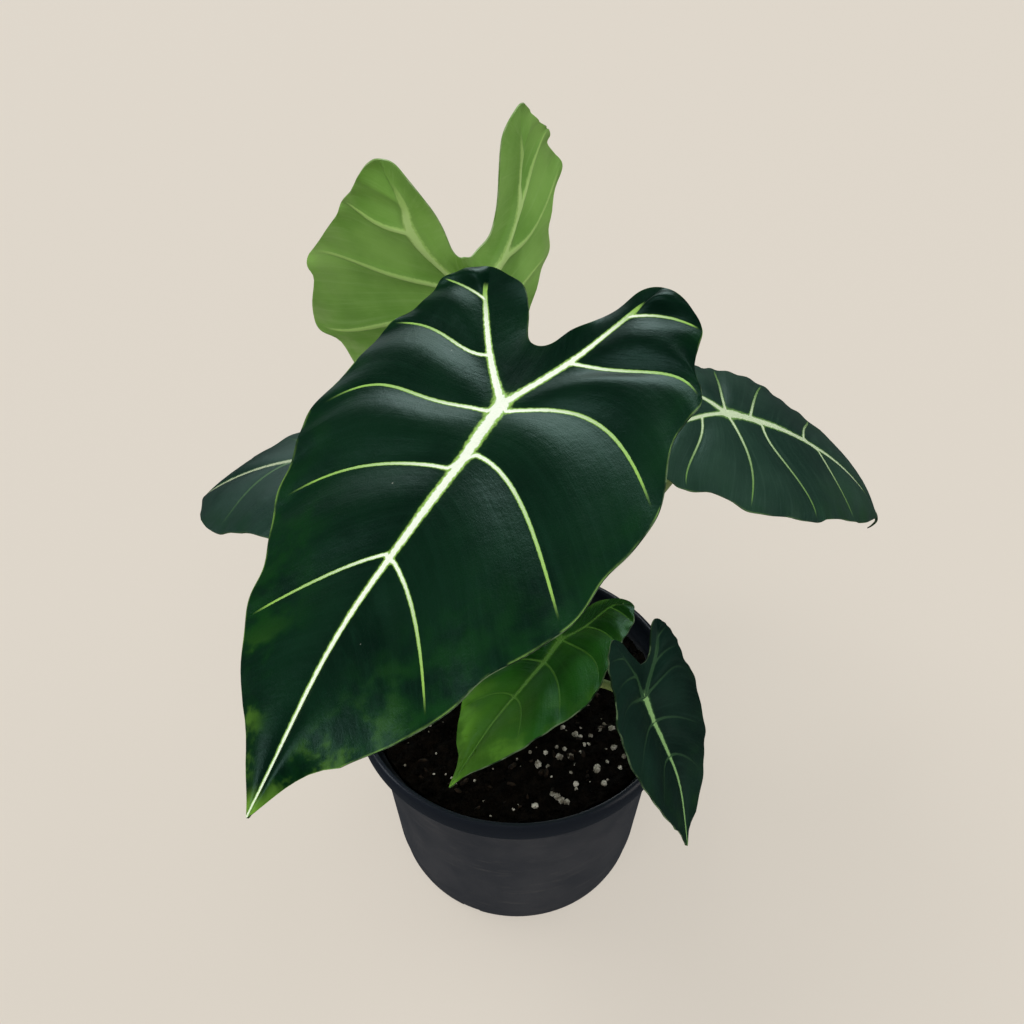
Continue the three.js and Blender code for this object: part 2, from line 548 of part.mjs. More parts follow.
// Blade: one mesh of rows and columns on the bent surface, carried to both faces with the same triangles.
// The blade swells between its veins, waves towards its margin, and its ribs stand out under it.
function makeBlade(leaf) {
  const scale = leaf.length / LEAF_LENGTH;
  const { across } = leafAxes(leaf);
  const surface = leafSurface(leaf);
  const fine = leaf.length > LITTLE_LEAF;
  const rows = meshStations(fine);
  const shares = fine ? COLUMNS.large : COLUMNS.little;
  const vertices = [];
  const seen = new Map();
  const faces = [];

  const vertexAt = (side, half, station, share, inNotch) => {
    const [px, py] = halfLeafPoint(half, station, share, inNotch);
    const x = (side === 0 ? 1 : -1) * px * scale;
    const y = py * scale;
    const key = `${x.toFixed(2)}_${y.toFixed(2)}`.replaceAll('-0.00', '0.00');
    if (!seen.has(key)) {
      const step = 0.5;
      const here = surface(x, y);
      const outwards = surface(x + (x < 0 ? -step : step), y).sub(here).multiplyScalar(x < 0 ? -1 : 1);
      const towardsTip = surface(x, y + step).sub(surface(x, y - step));
      const onMidrib = Math.abs(x) < 0.01;
      const normal = new THREE.Vector3().crossVectors(onMidrib ? across : outwards, towardsTip).normalize();
      const between = inNotch ? 0 : Math.abs(Math.sin(Math.PI * station)) ** SWELL_SHARPNESS;
      const swell = SWELL * between * 4 * share * (1 - share);
      const turn = 2 * Math.PI * leaf.waves * station / STATIONS + side * 2;
      const calm = smoothstep(px, 0, CALM_WIDTH) * smoothstep(station, 0, CALM_STATIONS);
      const wave = leaf.wave * share ** 2 * Math.sin(turn) * calm;
      const lift = scale * (swell + wave);
      const onVein = !inNotch && Math.abs(station - Math.round(station)) < 0.01;
      const standsOut = onVein && leaf.laterals.includes(Math.round(station));
      const vein = standsOut ? LATERAL_HEIGHT * scale * (1 - share) : 0;
      const lobeRib = LOBE_RIB_HEIGHT * scale * station / NAVEL_STATION;
      const midrib = RIB_HEIGHT_LEAST + leaf.midrib * Math.max(0, 1 - py / LEAF_LENGTH);
      const ownRib = station < NAVEL_STATION ? lobeRib : midrib;
      const rib = share === 0 ? ownRib : vein;
      seen.set(key, vertices.length);
      vertices.push({
        top: here.clone().addScaledVector(normal, lift + BLADE_THICKNESS / 2),
        bottom: here.clone().addScaledVector(normal, lift - BLADE_THICKNESS / 2 - rib),
      });
    }
    return seen.get(key);
  };

  const addFace = (a, b, c) => {
    if (a !== b && b !== c && a !== c) {
      faces.push([a, b, c]);
    }
  };

  leaf.halves.forEach((half, side) => {
    const addPatch = (patchRows, inNotch) => {
      for (let i = 1; i < patchRows.length; i += 1) {
        for (let j = 1; j < shares.length; j += 1) {
          const corner = (row, column) => vertexAt(side, half, patchRows[row], shares[column], inNotch);
          const quad = [corner(i - 1, j - 1), corner(i, j - 1), corner(i, j), corner(i - 1, j)];
          if ((side === 0) === inNotch) {
            quad.reverse();
          }
          addFace(quad[0], quad[2], quad[1]);
          addFace(quad[0], quad[3], quad[2]);
        }
      }
    };
    addPatch(rows, false);
    addPatch(rows.filter((station) => station <= NAVEL_STATION), true);
  });

  // Both faces and the rim strip between them
  const count = vertices.length;
  const points = [...vertices.map((v) => v.top), ...vertices.map((v) => v.bottom)];
  const positions = points.flatMap((point) => point.toArray());
  const index = [];
  const edges = new Map();
  for (const [a, b, c] of faces) {
    index.push(a, b, c, count + a, count + c, count + b);
    for (const [from, to] of [[a, b], [b, c], [c, a]]) {
      edges.set(`${from}_${to}`, [from, to]);
    }
  }
  for (const [from, to] of edges.values()) {
    if (!edges.has(`${to}_${from}`)) {
      index.push(to, from, count + from, to, count + from, count + to);
    }
  }
  const geometry = new THREE.BufferGeometry();
  geometry.setAttribute('position', new THREE.Float32BufferAttribute(positions, 3));
  geometry.setIndex(index);
  return geometry;
}

// Petiole: a tapering round stem from the soil to the navel's underside, which it meets square
function makePetiole(leaf) {
  const { up } = leafAxes(leaf);
  const [x, y] = petioleFoot(leaf);
  const { foot, top, route } = leaf.petiole;
  const underside = BLADE_THICKNESS / 2 + RIB_HEIGHT_LEAST + leaf.midrib + PETIOLE_GAP;
  const end = new THREE.Vector3(...leaf.navel).addScaledVector(up, -underside);
  const path = new THREE.CatmullRomCurve3([
    ...[PETIOLE_FOOT, SOIL_LEVEL - 4, SOIL_LEVEL + 4].map((z) => new THREE.Vector3(x, y, z)),
    ...route.map((point) => new THREE.Vector3(...point)),
    end.clone().addScaledVector(up, -SQUARE_END), end,
  ], false, 'centripetal');
  const frames = path.computeFrenetFrames(PETIOLE_STEPS, false);
  const positions = [];
  const index = [];
  for (let i = 0; i <= PETIOLE_STEPS; i += 1) {
    const centre = path.getPointAt(i / PETIOLE_STEPS);
    const radius = foot + (top - foot) * (i / PETIOLE_STEPS) ** 0.8;
    for (let j = 0; j < PETIOLE_SIDES; j += 1) {
      const angle = 2 * Math.PI * j / PETIOLE_SIDES;
      const point = centre.clone()
        .addScaledVector(frames.normals[i], radius * Math.cos(angle))
        .addScaledVector(frames.binormals[i], radius * Math.sin(angle));
      positions.push(...point.toArray());
      if (i < PETIOLE_STEPS) {
        const here = i * PETIOLE_SIDES + j;
        const next = i * PETIOLE_SIDES + (j + 1) % PETIOLE_SIDES;
        index.push(here, next, here + PETIOLE_SIDES, next, next + PETIOLE_SIDES, here + PETIOLE_SIDES);
      }
    }
  }
  const lastRing = PETIOLE_STEPS * PETIOLE_SIDES;
  for (let j = 1; j < PETIOLE_SIDES - 1; j += 1) {
    index.push(0, j + 1, j, lastRing, lastRing + j, lastRing + j + 1);
  }
  const geometry = new THREE.BufferGeometry();
  geometry.setAttribute('position', new THREE.Float32BufferAttribute(positions, 3));
  geometry.setIndex(index);
  return geometry;
}

function part(name, geometry, material) {
  const mesh = new THREE.Mesh(geometry, material);
  mesh.name = name;
  return mesh;
}

const plant = new THREE.Group();
plant.add(part('pot', makePot(), MATERIALS.pot));
plant.add(part('soil', makeSoil(), MATERIALS.soil));
plant.add(part('corm', makeCorm(), MATERIALS.corm));
for (const leaf of LEAVES) {
  const color = { back: MATERIALS.pale, young: MATERIALS.bright }[leaf.name] ?? MATERIALS.dark;
  plant.add(part(`blade_${leaf.name}`, makeBlade(leaf), color));
  plant.add(part(`petiole_${leaf.name}`, makePetiole(leaf), MATERIALS.petiole));
}

export default plant;
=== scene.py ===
import math

import bpy
import numpy as np
from mathutils import Matrix, Vector, noise


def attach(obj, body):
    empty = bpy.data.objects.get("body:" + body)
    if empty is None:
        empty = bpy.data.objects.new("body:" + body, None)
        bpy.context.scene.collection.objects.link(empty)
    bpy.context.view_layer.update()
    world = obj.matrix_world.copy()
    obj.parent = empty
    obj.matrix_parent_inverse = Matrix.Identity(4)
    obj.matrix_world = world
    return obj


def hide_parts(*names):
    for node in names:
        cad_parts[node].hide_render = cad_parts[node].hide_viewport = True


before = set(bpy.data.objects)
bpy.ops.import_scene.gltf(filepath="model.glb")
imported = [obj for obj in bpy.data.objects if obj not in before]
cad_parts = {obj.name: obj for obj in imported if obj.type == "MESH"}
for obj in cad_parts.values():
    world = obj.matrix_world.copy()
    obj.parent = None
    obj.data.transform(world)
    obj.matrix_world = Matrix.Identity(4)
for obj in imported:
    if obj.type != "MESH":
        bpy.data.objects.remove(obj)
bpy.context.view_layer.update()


# Studio: the camera looks down on the pot at the photograph's angle, from about two thirds of a metre away.
# A pale floor runs into a pale surround. Broad soft lamps light the plant, the strongest up on the left,
# and others are only mirrored in its satin leaves.
CAMERA_PLACE = (-0.0025, -0.3305, 0.541)
CAMERA_DOWN = math.radians(43.8)
CAMERA_LENS = 40
FLOOR_SIZE = 12
FLOOR_LEVEL = -0.0002


def shade(red, green, blue):
    """A colour as it looks on a screen, 0 to 255, as the light values that a material takes."""
    parts = [channel / 255 for channel in (red, green, blue)]
    return tuple(c / 12.92 if c <= 0.04045 else ((c + 0.055) / 1.055) ** 2.4 for c in parts) + (1,)


def deselect():
    bpy.ops.object.select_all(action="DESELECT")


def add_soft_light(name, towards, spread, strength, color, mirrored):
    """A broad lamp far away in one direction; it lights the plant, or is only mirrored in its leaves."""
    bpy.ops.object.light_add(type="SUN")
    light = bpy.context.object
    light.name = name
    light.visible_glossy = mirrored
    light.visible_diffuse = not mirrored
    light.data.angle = math.radians(spread)
    light.data.energy = strength
    light.data.color = color
    light.rotation_euler = Vector(towards).to_track_quat("Z", "Y").to_euler()


PALE = shade(222, 214, 202)
bpy.ops.object.camera_add(location=CAMERA_PLACE, rotation=(math.pi / 2 - CAMERA_DOWN, 0, 0))
bpy.context.scene.camera = bpy.context.object
bpy.context.object.data.lens = CAMERA_LENS
bpy.context.object.data.clip_start = 0.01
bpy.context.scene.view_settings.view_transform = "Standard"


class Value:
    """What a node gives, such as a number that varies over a surface; sums on it become Math nodes."""

    def __init__(self, nodes, socket):
        self.nodes = nodes
        self.socket = socket

    def math(self, operation, *others):
        return self.nodes.node("ShaderNodeMath", {"operation": operation}, dict(enumerate((self, *others))))

    def __add__(self, other):
        return self.math("ADD", other)

    def __sub__(self, other):
        return self.math("SUBTRACT", other)

    def __rsub__(self, other):
        return self.nodes.node("ShaderNodeMath", {"operation": "SUBTRACT"}, {0: other, 1: self})

    def __mul__(self, other):
        return self.math("MULTIPLY", other)

    __radd__ = __add__
    __rmul__ = __mul__

    def between(self, low, high):
        """0 below low and 1 above high, or the other way round where low is the larger."""
        return self.nodes.node(
            "ShaderNodeMapRange", {"interpolation_type": "SMOOTHSTEP", "clamp": True},
            {"Value": self, "From Min": low, "From Max": high},
        )


class Nodes:
    """A tree of nodes, all made by one method."""

    def __init__(self, tree):
        self.tree = tree

    def put(self, socket, value):
        if isinstance(value, Value):
            self.tree.links.new(value.socket, socket)
        else:
            socket.default_value = value

    def node(self, kind, settings, sockets, output=0):
        """Makes a node: its settings come first, then the values or links of its sockets."""
        made = self.tree.nodes.new(kind)
        for key, value in settings.items():
            setattr(made, key, value)
        for key, value in sockets.items():
            self.put(made.inputs[key], value)
        return Value(self, made.outputs[output])


class Finish(Nodes):
    """A material, with short names for the nodes that the surfaces here are made of."""

    def __init__(self, name):
        self.material = bpy.data.materials.new(name)
        self.material.use_nodes = True
        super().__init__(self.material.node_tree)
        self.shader = self.tree.nodes["Principled BSDF"]

    def mix(self, factor, first, second):
        return self.node("ShaderNodeMix", {"data_type": "RGBA"}, {0: factor, 6: first, 7: second}, output=2)

    def attribute(self, name):
        return self.node("ShaderNodeAttribute", {"attribute_name": name}, {}, output="Fac")

    def place(self):
        return self.node("ShaderNodeTexCoord", {}, {}, output="Object")

    def axis(self, vector, letter):
        return self.node("ShaderNodeSeparateXYZ", {}, {"Vector": vector}, output=letter)

    def stretch(self, vector, amounts):
        return self.node("ShaderNodeMapping", {}, {"Vector": vector, "Scale": amounts})

    def noise(self, vector, scale, detail=3, roughness=0.5, distortion=0):
        return self.node("ShaderNodeTexNoise", {}, {
            "Vector": vector, "Scale": scale, "Detail": detail,
            "Roughness": roughness, "Distortion": distortion,
        })

    def bump(self, height, strength, distance):
        self.put(self.shader.inputs["Normal"], self.node("ShaderNodeBump", {}, {
            "Height": height, "Strength": strength, "Distance": distance,
        }))

    def surface(self, **sockets):
        for key, value in sockets.items():
            self.put(self.shader.inputs[key.replace("_", " ")], value)
        return self.material


# The surround is pale where the camera sees it and dim as a light, so that the dark leaves stay dark
surround = bpy.data.worlds.new("surround")
bpy.context.scene.world = surround
surround.use_nodes = True
surround.node_tree.nodes.remove(surround.node_tree.nodes["Background"])
sky = Nodes(surround.node_tree)
seen = sky.node("ShaderNodeBackground", {}, {"Color": PALE})
lighting = sky.node("ShaderNodeBackground", {}, {"Color": (0.93, 0.97, 1.0, 1), "Strength": 0.18})
mirrored_room = sky.node("ShaderNodeBackground", {}, {"Color": (0.8, 0.9, 1.0, 1), "Strength": 0.06})
in_mirror = sky.node("ShaderNodeLightPath", {}, {}, output="Is Glossy Ray")
in_camera = sky.node("ShaderNodeLightPath", {}, {}, output="Is Camera Ray")
unseen = sky.node("ShaderNodeMixShader", {}, {0: in_mirror, 1: lighting, 2: mirrored_room})
chosen = sky.node("ShaderNodeMixShader", {}, {0: in_camera, 1: unseen, 2: seen})
sky.put(surround.node_tree.nodes["World Output"].inputs["Surface"], chosen)

add_soft_light("key", (-0.5, 0.25, 0.83), 40, 1.5, (1.0, 0.99, 0.97), mirrored=False)
add_soft_light("back", (0.7, 0.35, 0.62), 45, 0.7, (0.94, 0.97, 1.0), mirrored=False)
add_soft_light("front", (-0.1, -0.55, 0.83), 60, 1.35, (1.0, 0.98, 0.95), mirrored=False)
add_soft_light("window", (-0.2, 0.76, 0.62), 36, 1.1, (0.92, 0.98, 1.0), mirrored=True)
add_soft_light("wall", (-0.3, 0.9, 0.32), 50, 0.3, (0.85, 0.97, 1.0), mirrored=True)
add_soft_light("side_window", (-0.9, -0.1, 0.42), 20, 0.25, (0.9, 0.96, 1.0), mirrored=True)
add_soft_light("far_wall", (0.95, -0.25, 0.2), 40, 0.4, (1.0, 0.96, 0.9), mirrored=True)

deselect()
bpy.ops.mesh.primitive_plane_add(size=FLOOR_SIZE, location=(0, 0, FLOOR_LEVEL))
floor = bpy.context.object
floor.name = "floor"
floor.visible_glossy = False
floor_finish = Finish("floor_paper")
floor.data.materials.append(floor_finish.surface(
    Base_Color=shade(128, 123, 116), Roughness=0.9, Specular_IOR_Level=0.1,
    Emission_Color=PALE, Emission_Strength=0.69,
))


# Pot: a round six-inch nursery pot of dark grey injection-moulded plastic, one thin shell.
# Its foot ring stands on the table, with a pad and drain holes under it; its rim is a thick rolled band.
MM = 0.001
POT_ROUND = 128
POT_WALL = 1.7
POT_UNDERSIDE = [(14, 0), (16, 3), (51.5, 3), (53.5, 0)]
POT_SIDE = [
    (58.7, 0), (59.5, 0.6), (60.5, 4), (61.0, 8.2), (61.4, 10), (62.1, 14), (63.0, 26),
    (64.4, 44), (65.8, 62), (67.4, 78), (69.0, 93), (69.5, 98),
]
POT_RIM = [
    (70.0, 99.8), (72.0, 100.5), (74.2, 100.9), (75.5, 101.7), (76.2, 103.2), (76.4, 106), (76.4, 108.4),
    (76.1, 110.2), (75.3, 111.4), (74.4, 111.9), (73.6, 111.8), (72.9, 110.9), (72.5, 108.6), (72.0, 105.6),
    (70.4, 102.2),
]
POT_INSIDE_CORNER = [(59.2, 7.6), (57.4, 6)]
DRAIN_RING_RADIUS = 31
DRAIN_HOLE_RADIUS = 4.5
DRAIN_HOLES = 6
FOOT_NOTCHES = 4
FOOT_NOTCH_SIZE = (0.018, 0.009, 0.0044)
FOOT_NOTCH_PLACE = 0.0595


def profile_turned(name, profile, sides):
    """A round piece raised ring by ring from its first radius, closed in the middle below and above."""
    deselect()
    first_radius, first_height = profile[0]
    bpy.ops.mesh.primitive_circle_add(
        vertices=sides, radius=first_radius * MM, fill_type="NGON", location=(0, 0, first_height * MM)
    )
    piece = bpy.context.object
    piece.name = name
    bpy.ops.object.transform_apply(location=True)
    bpy.ops.object.mode_set(mode="EDIT")
    bpy.ops.mesh.select_all(action="SELECT")
    bpy.ops.mesh.flip_normals()
    bpy.ops.mesh.select_mode(type="EDGE")
    for (radius, height), (next_radius, next_height) in zip(profile, profile[1:]):
        bpy.ops.mesh.extrude_edges_move(
            TRANSFORM_OT_translate={"value": (0, 0, (next_height - height) * MM)}
        )
        ratio = next_radius / radius
        bpy.ops.transform.resize(value=(ratio, ratio, 1), center_override=(0, 0, next_height * MM))
    bpy.ops.mesh.edge_face_add()
    bpy.ops.mesh.select_all(action="SELECT")
    bpy.ops.mesh.normals_make_consistent(inside=False)
    bpy.ops.object.mode_set(mode="OBJECT")
    return piece


def smooth_by_angle(piece, degrees):
    deselect()
    piece.select_set(True)
    bpy.context.view_layer.objects.active = piece
    bpy.ops.object.shade_smooth_by_angle(angle=math.radians(degrees))


def cut_away(piece, cutter):
    """Takes the cutter's shape out of a piece and removes the cutter."""
    deselect()
    bpy.context.view_layer.objects.active = piece
    piece.select_set(True)
    cut = piece.modifiers.new("cut", "BOOLEAN")
    cut.operation = "DIFFERENCE"
    cut.solver = "EXACT"
    cut.object = cutter
    bpy.ops.object.modifier_apply(modifier=cut.name)
    bpy.data.objects.remove(cutter)


inner_side = [(radius - POT_WALL, height) for radius, height in reversed(POT_SIDE[4:])]
pot_profile = POT_UNDERSIDE + POT_SIDE + POT_RIM + inner_side + POT_INSIDE_CORNER
pot = profile_turned("pot_shell", pot_profile, POT_ROUND)
for hole in range(DRAIN_HOLES):
    turn = 2 * math.pi * (hole + 0.5) / DRAIN_HOLES
    deselect()
    bpy.ops.mesh.primitive_cylinder_add(
        vertices=32, radius=DRAIN_HOLE_RADIUS * MM, depth=0.02,
        location=(DRAIN_RING_RADIUS * MM * math.cos(turn), DRAIN_RING_RADIUS * MM * math.sin(turn), 0.004),
    )
    cut_away(pot, bpy.context.object)
for notch in range(FOOT_NOTCHES):
    turn = 2 * math.pi * (notch + 0.75) / FOOT_NOTCHES
    deselect()
    bpy.ops.mesh.primitive_cube_add(
        size=1, scale=FOOT_NOTCH_SIZE, rotation=(0, 0, turn),
        location=(FOOT_NOTCH_PLACE * math.cos(turn), FOOT_NOTCH_PLACE * math.sin(turn), 0),
    )
    cut_away(pot, bpy.context.object)
smooth_by_angle(pot, 40)

plastic = Finish("charcoal_moulded_plastic")
spot = plastic.place()
height_up = plastic.axis(spot, "Z")
grime = plastic.noise(spot, 38, detail=5, roughness=0.6)
grain = plastic.noise(spot, 2400, detail=2)
scuff = plastic.noise(plastic.stretch(spot, (60, 60, 420)), 1, detail=4)
band = height_up.between(0.0992, 0.1012)
body_color = plastic.mix(grime.between(0.3, 0.75), shade(52, 55, 62), shade(65, 67, 73))
dusty = plastic.mix(scuff.between(0.56, 0.74) * 0.3 * (1 - band), body_color, shade(96, 95, 95))
plastic.bump(grain * 0.35 + grime * 0.5, 0.12, 0.0006)
pot.data.materials.append(plastic.surface(
    Base_Color=plastic.mix(band, dusty, shade(24, 29, 38)),
    Roughness=0.46 + grime.between(0.3, 0.8) * 0.12 - band * 0.18,
    Specular_IOR_Level=0.5,
))
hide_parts("pot")
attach(pot, "root")


# Soil: a peat mix filled to a finger's width below the rim, nearly black where it is moist.
# It is one body of settled crumbs, with loose crumbs, bark chips and perlite grains pressed into its top.
SOIL_LEVEL = 102
SOIL_EDGE_DROP = 1.5
SOIL_CALM_RADIUS = 21
SOIL_ROUGHNESS = 1.3
SOIL_RADIUS = 67.3
SOIL_RINGS = 84
SOIL_ROUND = 256
SOIL_SIDE = [(56, 6.4), (59.0, 8.8), (60.1, 14), (61.0, 26), (62.4, 44), (63.8, 62), (65.4, 78), (67.0, 93)]


def soil_height(x, y):
    """Height of the soil's top in millimetres: the shallow lumps that the pot was filled with."""
    radius = np.hypot(x, y)
    share = np.clip((radius - SOIL_CALM_RADIUS) / 14, 0, 1)
    rough = share * share * (3 - 2 * share)
    lumps = np.sin(0.31 * x + 1.3) * np.cos(0.27 * y - 0.6) + 0.6 * np.sin(0.53 * x - 0.47 * y)
    return SOIL_LEVEL + SOIL_ROUGHNESS * rough * lumps - SOIL_EDGE_DROP * (radius / 70) ** 4


def points_of(piece):
    values = np.empty(len(piece.data.vertices) * 3)
    piece.data.vertices.foreach_get("co", values)
    return values.reshape(-1, 3)


def set_points(piece, points):
    piece.data.vertices.foreach_set("co", np.asarray(points, np.float32).ravel())
    piece.data.update()


soil_top = [(SOIL_RADIUS * (1 - ring / SOIL_RINGS), SOIL_LEVEL) for ring in range(SOIL_RINGS)]
soil = profile_turned("soil_bed", SOIL_SIDE + soil_top, SOIL_ROUND)
grounds = points_of(soil)
on_top = grounds[:, 2] > (SOIL_LEVEL - 2) * MM
flat_x, flat_y = grounds[on_top, 0] / MM, grounds[on_top, 1] / MM
crumble = np.array([
    0.9 * noise.fractal(Vector((x * 0.23, y * 0.23, 4.0)), 1.0, 2.0, 4)
    + 0.5 * abs(noise.noise(Vector((x * 0.75, y * 0.75, 9.0))))
    for x, y in zip(flat_x, flat_y)
])
grounds[on_top, 2] = (soil_height(flat_x, flat_y) + crumble) * MM
set_points(soil, grounds)
smooth_by_angle(soil, 60)


def scatter(name, template, count, seed, near, far, sizes, sink, flatten, sector=(0, 360)):
    """Copies a small shape over the soil at seeded places, turned at random and sunk a share of its size."""
    draw = np.random.default_rng(seed)
    shape = points_of(template)
    faces = [list(face.vertices) for face in template.data.polygons]
    bpy.data.objects.remove(template)
    blocks, polygons = [], []
    for grain_number in range(count):
        turn = math.radians(draw.uniform(*sector))
        reach = math.sqrt(draw.uniform(near ** 2, far ** 2))
        x, y = reach * math.cos(turn), reach * math.sin(turn)
        size = draw.uniform(*sizes)
        stretched = shape * (1 + 0.16 * draw.standard_normal((len(shape), 1)))
        stretched = stretched * (1, draw.uniform(*flatten), draw.uniform(*flatten))
        turned = draw.uniform(0, 6.28)
        spin = np.array(Matrix.Rotation(turned, 3, Vector(draw.standard_normal(3)).normalized()))
        level = soil_height(np.array(x), np.array(y)) + 0.4
        blocks.append((stretched @ spin.T) * size + (x, y, level + size * (0.5 - sink)))
        polygons += [[corner + grain_number * len(shape) for corner in face] for face in faces]
    mesh = bpy.data.meshes.new(name)
    mesh.from_pydata((np.concatenate(blocks) * MM).tolist(), [], polygons)
    mesh.update()
    piece = bpy.data.objects.new(name, mesh)
    bpy.context.scene.collection.objects.link(piece)
    smooth_by_angle(piece, 50)
    return piece


def pebble(subdivisions):
    deselect()
    bpy.ops.mesh.primitive_ico_sphere_add(subdivisions=subdivisions, radius=1)
    return bpy.context.object


crumbs = scatter(
    "soil_crumbs", pebble(2), count=2400, seed=11, near=12, far=66, sizes=(0.4, 1.2), sink=0.5,
    flatten=(0.7, 1),
)
bark = scatter(
    "bark_chips", pebble(2), count=90, seed=12, near=15, far=65, sizes=(1.0, 2.6), sink=0.4,
    flatten=(0.3, 0.6),
)
perlite = scatter(
    "perlite_grains", pebble(2), count=110, seed=13, near=14, far=66, sizes=(0.3, 0.7), sink=0.4,
    flatten=(0.75, 1),
)
perlite_heap = scatter(
    "perlite_heap", pebble(3), count=40, seed=14, near=26, far=62, sizes=(0.7, 1.6), sink=0.35,
    flatten=(0.85, 1), sector=(-84, -14),
)

peat = Finish("moist_peat")
spot = peat.place()
clods = peat.noise(spot, 260, detail=6, roughness=0.65)
fibres = peat.noise(spot, 1100, detail=3)
peat.bump(clods + fibres * 0.5, 0.8, 0.0012)
peat_material = peat.surface(
    Base_Color=peat.mix(clods.between(0.35, 0.75), shade(5, 4, 3), shade(20, 15, 10)),
    Roughness=0.98 - fibres * 0.15,
    Specular_IOR_Level=0.1,
)
bark_finish = Finish("bark")
spot = bark_finish.place()
streaks = bark_finish.noise(spot, 700, detail=4)
bark_finish.bump(streaks, 0.5, 0.0006)
bark_material = bark_finish.surface(
    Base_Color=bark_finish.mix(streaks.between(0.35, 0.7), shade(14, 10, 7), shade(44, 32, 21)),
    Roughness=0.9,
)
white_rock = Finish("perlite")
spot = white_rock.place()
pits = white_rock.noise(spot, 1500, detail=4)
stain = white_rock.noise(spot, 210, detail=3)
white_rock.bump(pits, 0.7, 0.0005)
perlite_material = white_rock.surface(
    Base_Color=white_rock.mix(stain.between(0.38, 0.66), shade(120, 114, 100), shade(214, 210, 196)),
    Roughness=0.9,
)
for piece, material in (
    (soil, peat_material), (crumbs, peat_material), (bark, bark_material), (perlite, perlite_material),
    (perlite_heap, perlite_material),
):
    piece.data.materials.append(material)
    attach(piece, "root")
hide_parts("soil")


# Corm: the short woody rootstock in the middle, from which all the leaves have grown.
# It is ringed by old leaf scars and stands in the soil with its top in the open.
CORM_ROUND = 40
CORM_PROFILE = [
    (6.4, 88), (7.8, 91), (7.8, 103), (7.2, 103.6), (7.0, 104.0), (7.3, 104.8),
    (6.2, 105.7), (5.6, 106.1), (5.8, 106.8), (4.2, 107.9), (2.6, 108.6), (1.2, 109.2),
]
corm = profile_turned("corm_stub", CORM_PROFILE, CORM_ROUND)
smooth_by_angle(corm, 50)
scarred = Finish("corm_skin")
spot = scarred.place()
rings = scarred.noise(scarred.stretch(spot, (90, 90, 900)), 1, detail=3)
scarred.bump(rings, 0.6, 0.0008)
corm.data.materials.append(scarred.surface(
    Base_Color=scarred.mix(rings.between(0.35, 0.65), shade(62, 46, 30), shade(118, 100, 66)), Roughness=0.85,
))
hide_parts("corm")
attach(corm, "root")


# Leaves: how each blade is drawn, placed and bent. In a leaf plane y runs along the midrib from the navel,
# where the petiole joins, to the tip, and x across it. Half leaves are drawn for a leaf LEAF_LENGTH long:
# rib and outline at the stations of the side veins, which stray from straight by their courses and start.
LEAF_LENGTH = 159
STATIONS = 6
NAVEL_STATION = 3
COMMON = {
    "rib": [(36, -47), (32, -40), (18, -19), (0, 0), (0, 26), (0, 66), (0, 159)],
    "outline": [
        (0, -25), (5.5, -27), (10.5, -32), (16, -40), (22, -46.5), (30, -51), (38, -53), (49, -50),
        (57, -43), (66, -29), (71.5, -16), (74.5, 5), (75.5, 27), (73, 46), (66.5, 65), (57, 86),
        (43, 108), (23.5, 132), (0, 159),
    ],
    "courses": [(-1.5, 0, 0), (-4.5, 0, 0), (-12.5, -9.5, -4), (-9.5, 0, 0), (-10.5, 0, 0)],
    "start": [0, 0, 0, 0, 0, 0, 0],
    "drip": 0.4,
}
FRONT_LEFT = COMMON | {
    "rib": [(36.5, -45), (33.8, -37.6), (18.5, -17.2), (0, 0), (0, 24), (0, 65.5), (0, 159)],
    "outline": [
        (0, -25), (5, -26.3), (9.5, -30.5), (13.4, -38), (18.5, -45.4), (27.5, -48.5), (37.5, -50.5),
        (47, -48), (57, -41.5), (62.8, -30.5), (72, -18), (74, 3), (76.3, 29.5), (71, 45), (64.5, 65),
        (52, 84), (43, 106), (24, 131), (0, 159),
    ],
    "courses": [(-1, 0, 0), (-2.5, -5, 2), (-10.5, -12.5, -11.5), (-11, -5, -3), (-3.5, 1.5, -0.5)],
    "start": [0, 0, 0, 4.5, 4.5, -2.5, 0],
    "drip": 0.1,
}
FRONT_RIGHT = COMMON | {
    "rib": [(35, -49.5), (29.7, -42.4), (16, -21.8), (0, 0), (0, 24), (0, 65.5), (0, 159)],
    "outline": [
        (0, -25), (6.5, -27.3), (12, -33.7), (17, -38.7), (23, -44.3), (30, -51.7), (38, -54.5),
        (47.5, -52.3), (57.5, -44), (60.5, -33), (70.4, -20.5), (68.3, -7), (76.9, 19), (73.8, 40),
        (73.2, 62.5), (61.5, 83.5), (50, 106.3), (25, 130.5), (0, 159),
    ],
    "courses": [(-2, 0, 0), (-4, -6, -3.5), (-16, -0.5, 3), (-8, 4, -1), (-5.5, 0, 0)],
    "start": [0, 0, 0, 4, -3, -1, 0],
    "drip": 0.35,
}
BACK_LEFT = COMMON | {
    "rib": [(27, -54), (21, -42.5), (18, -30), (0, 0), (0, 20), (0, 66), (0, 159)],
    "outline": [
        (0, -24), (4.3, -28), (8, -36.5), (12, -46), (17.5, -55), (23, -59.7), (28.5, -60.8),
        (34, -57.8), (38.5, -50.5), (42.5, -42.5), (47.5, -35.5), (53, -24), (73, 1.5), (73, 17),
        (77.3, 48.5), (63.5, 60), (47, 97), (25, 130), (0, 159),
    ],
    "courses": [(0, 0, 0), (2, -0.5, -4), (-3, -2, -11), (-6.5, 13, 3.5), (-6.5, 1, -0.5)],
}
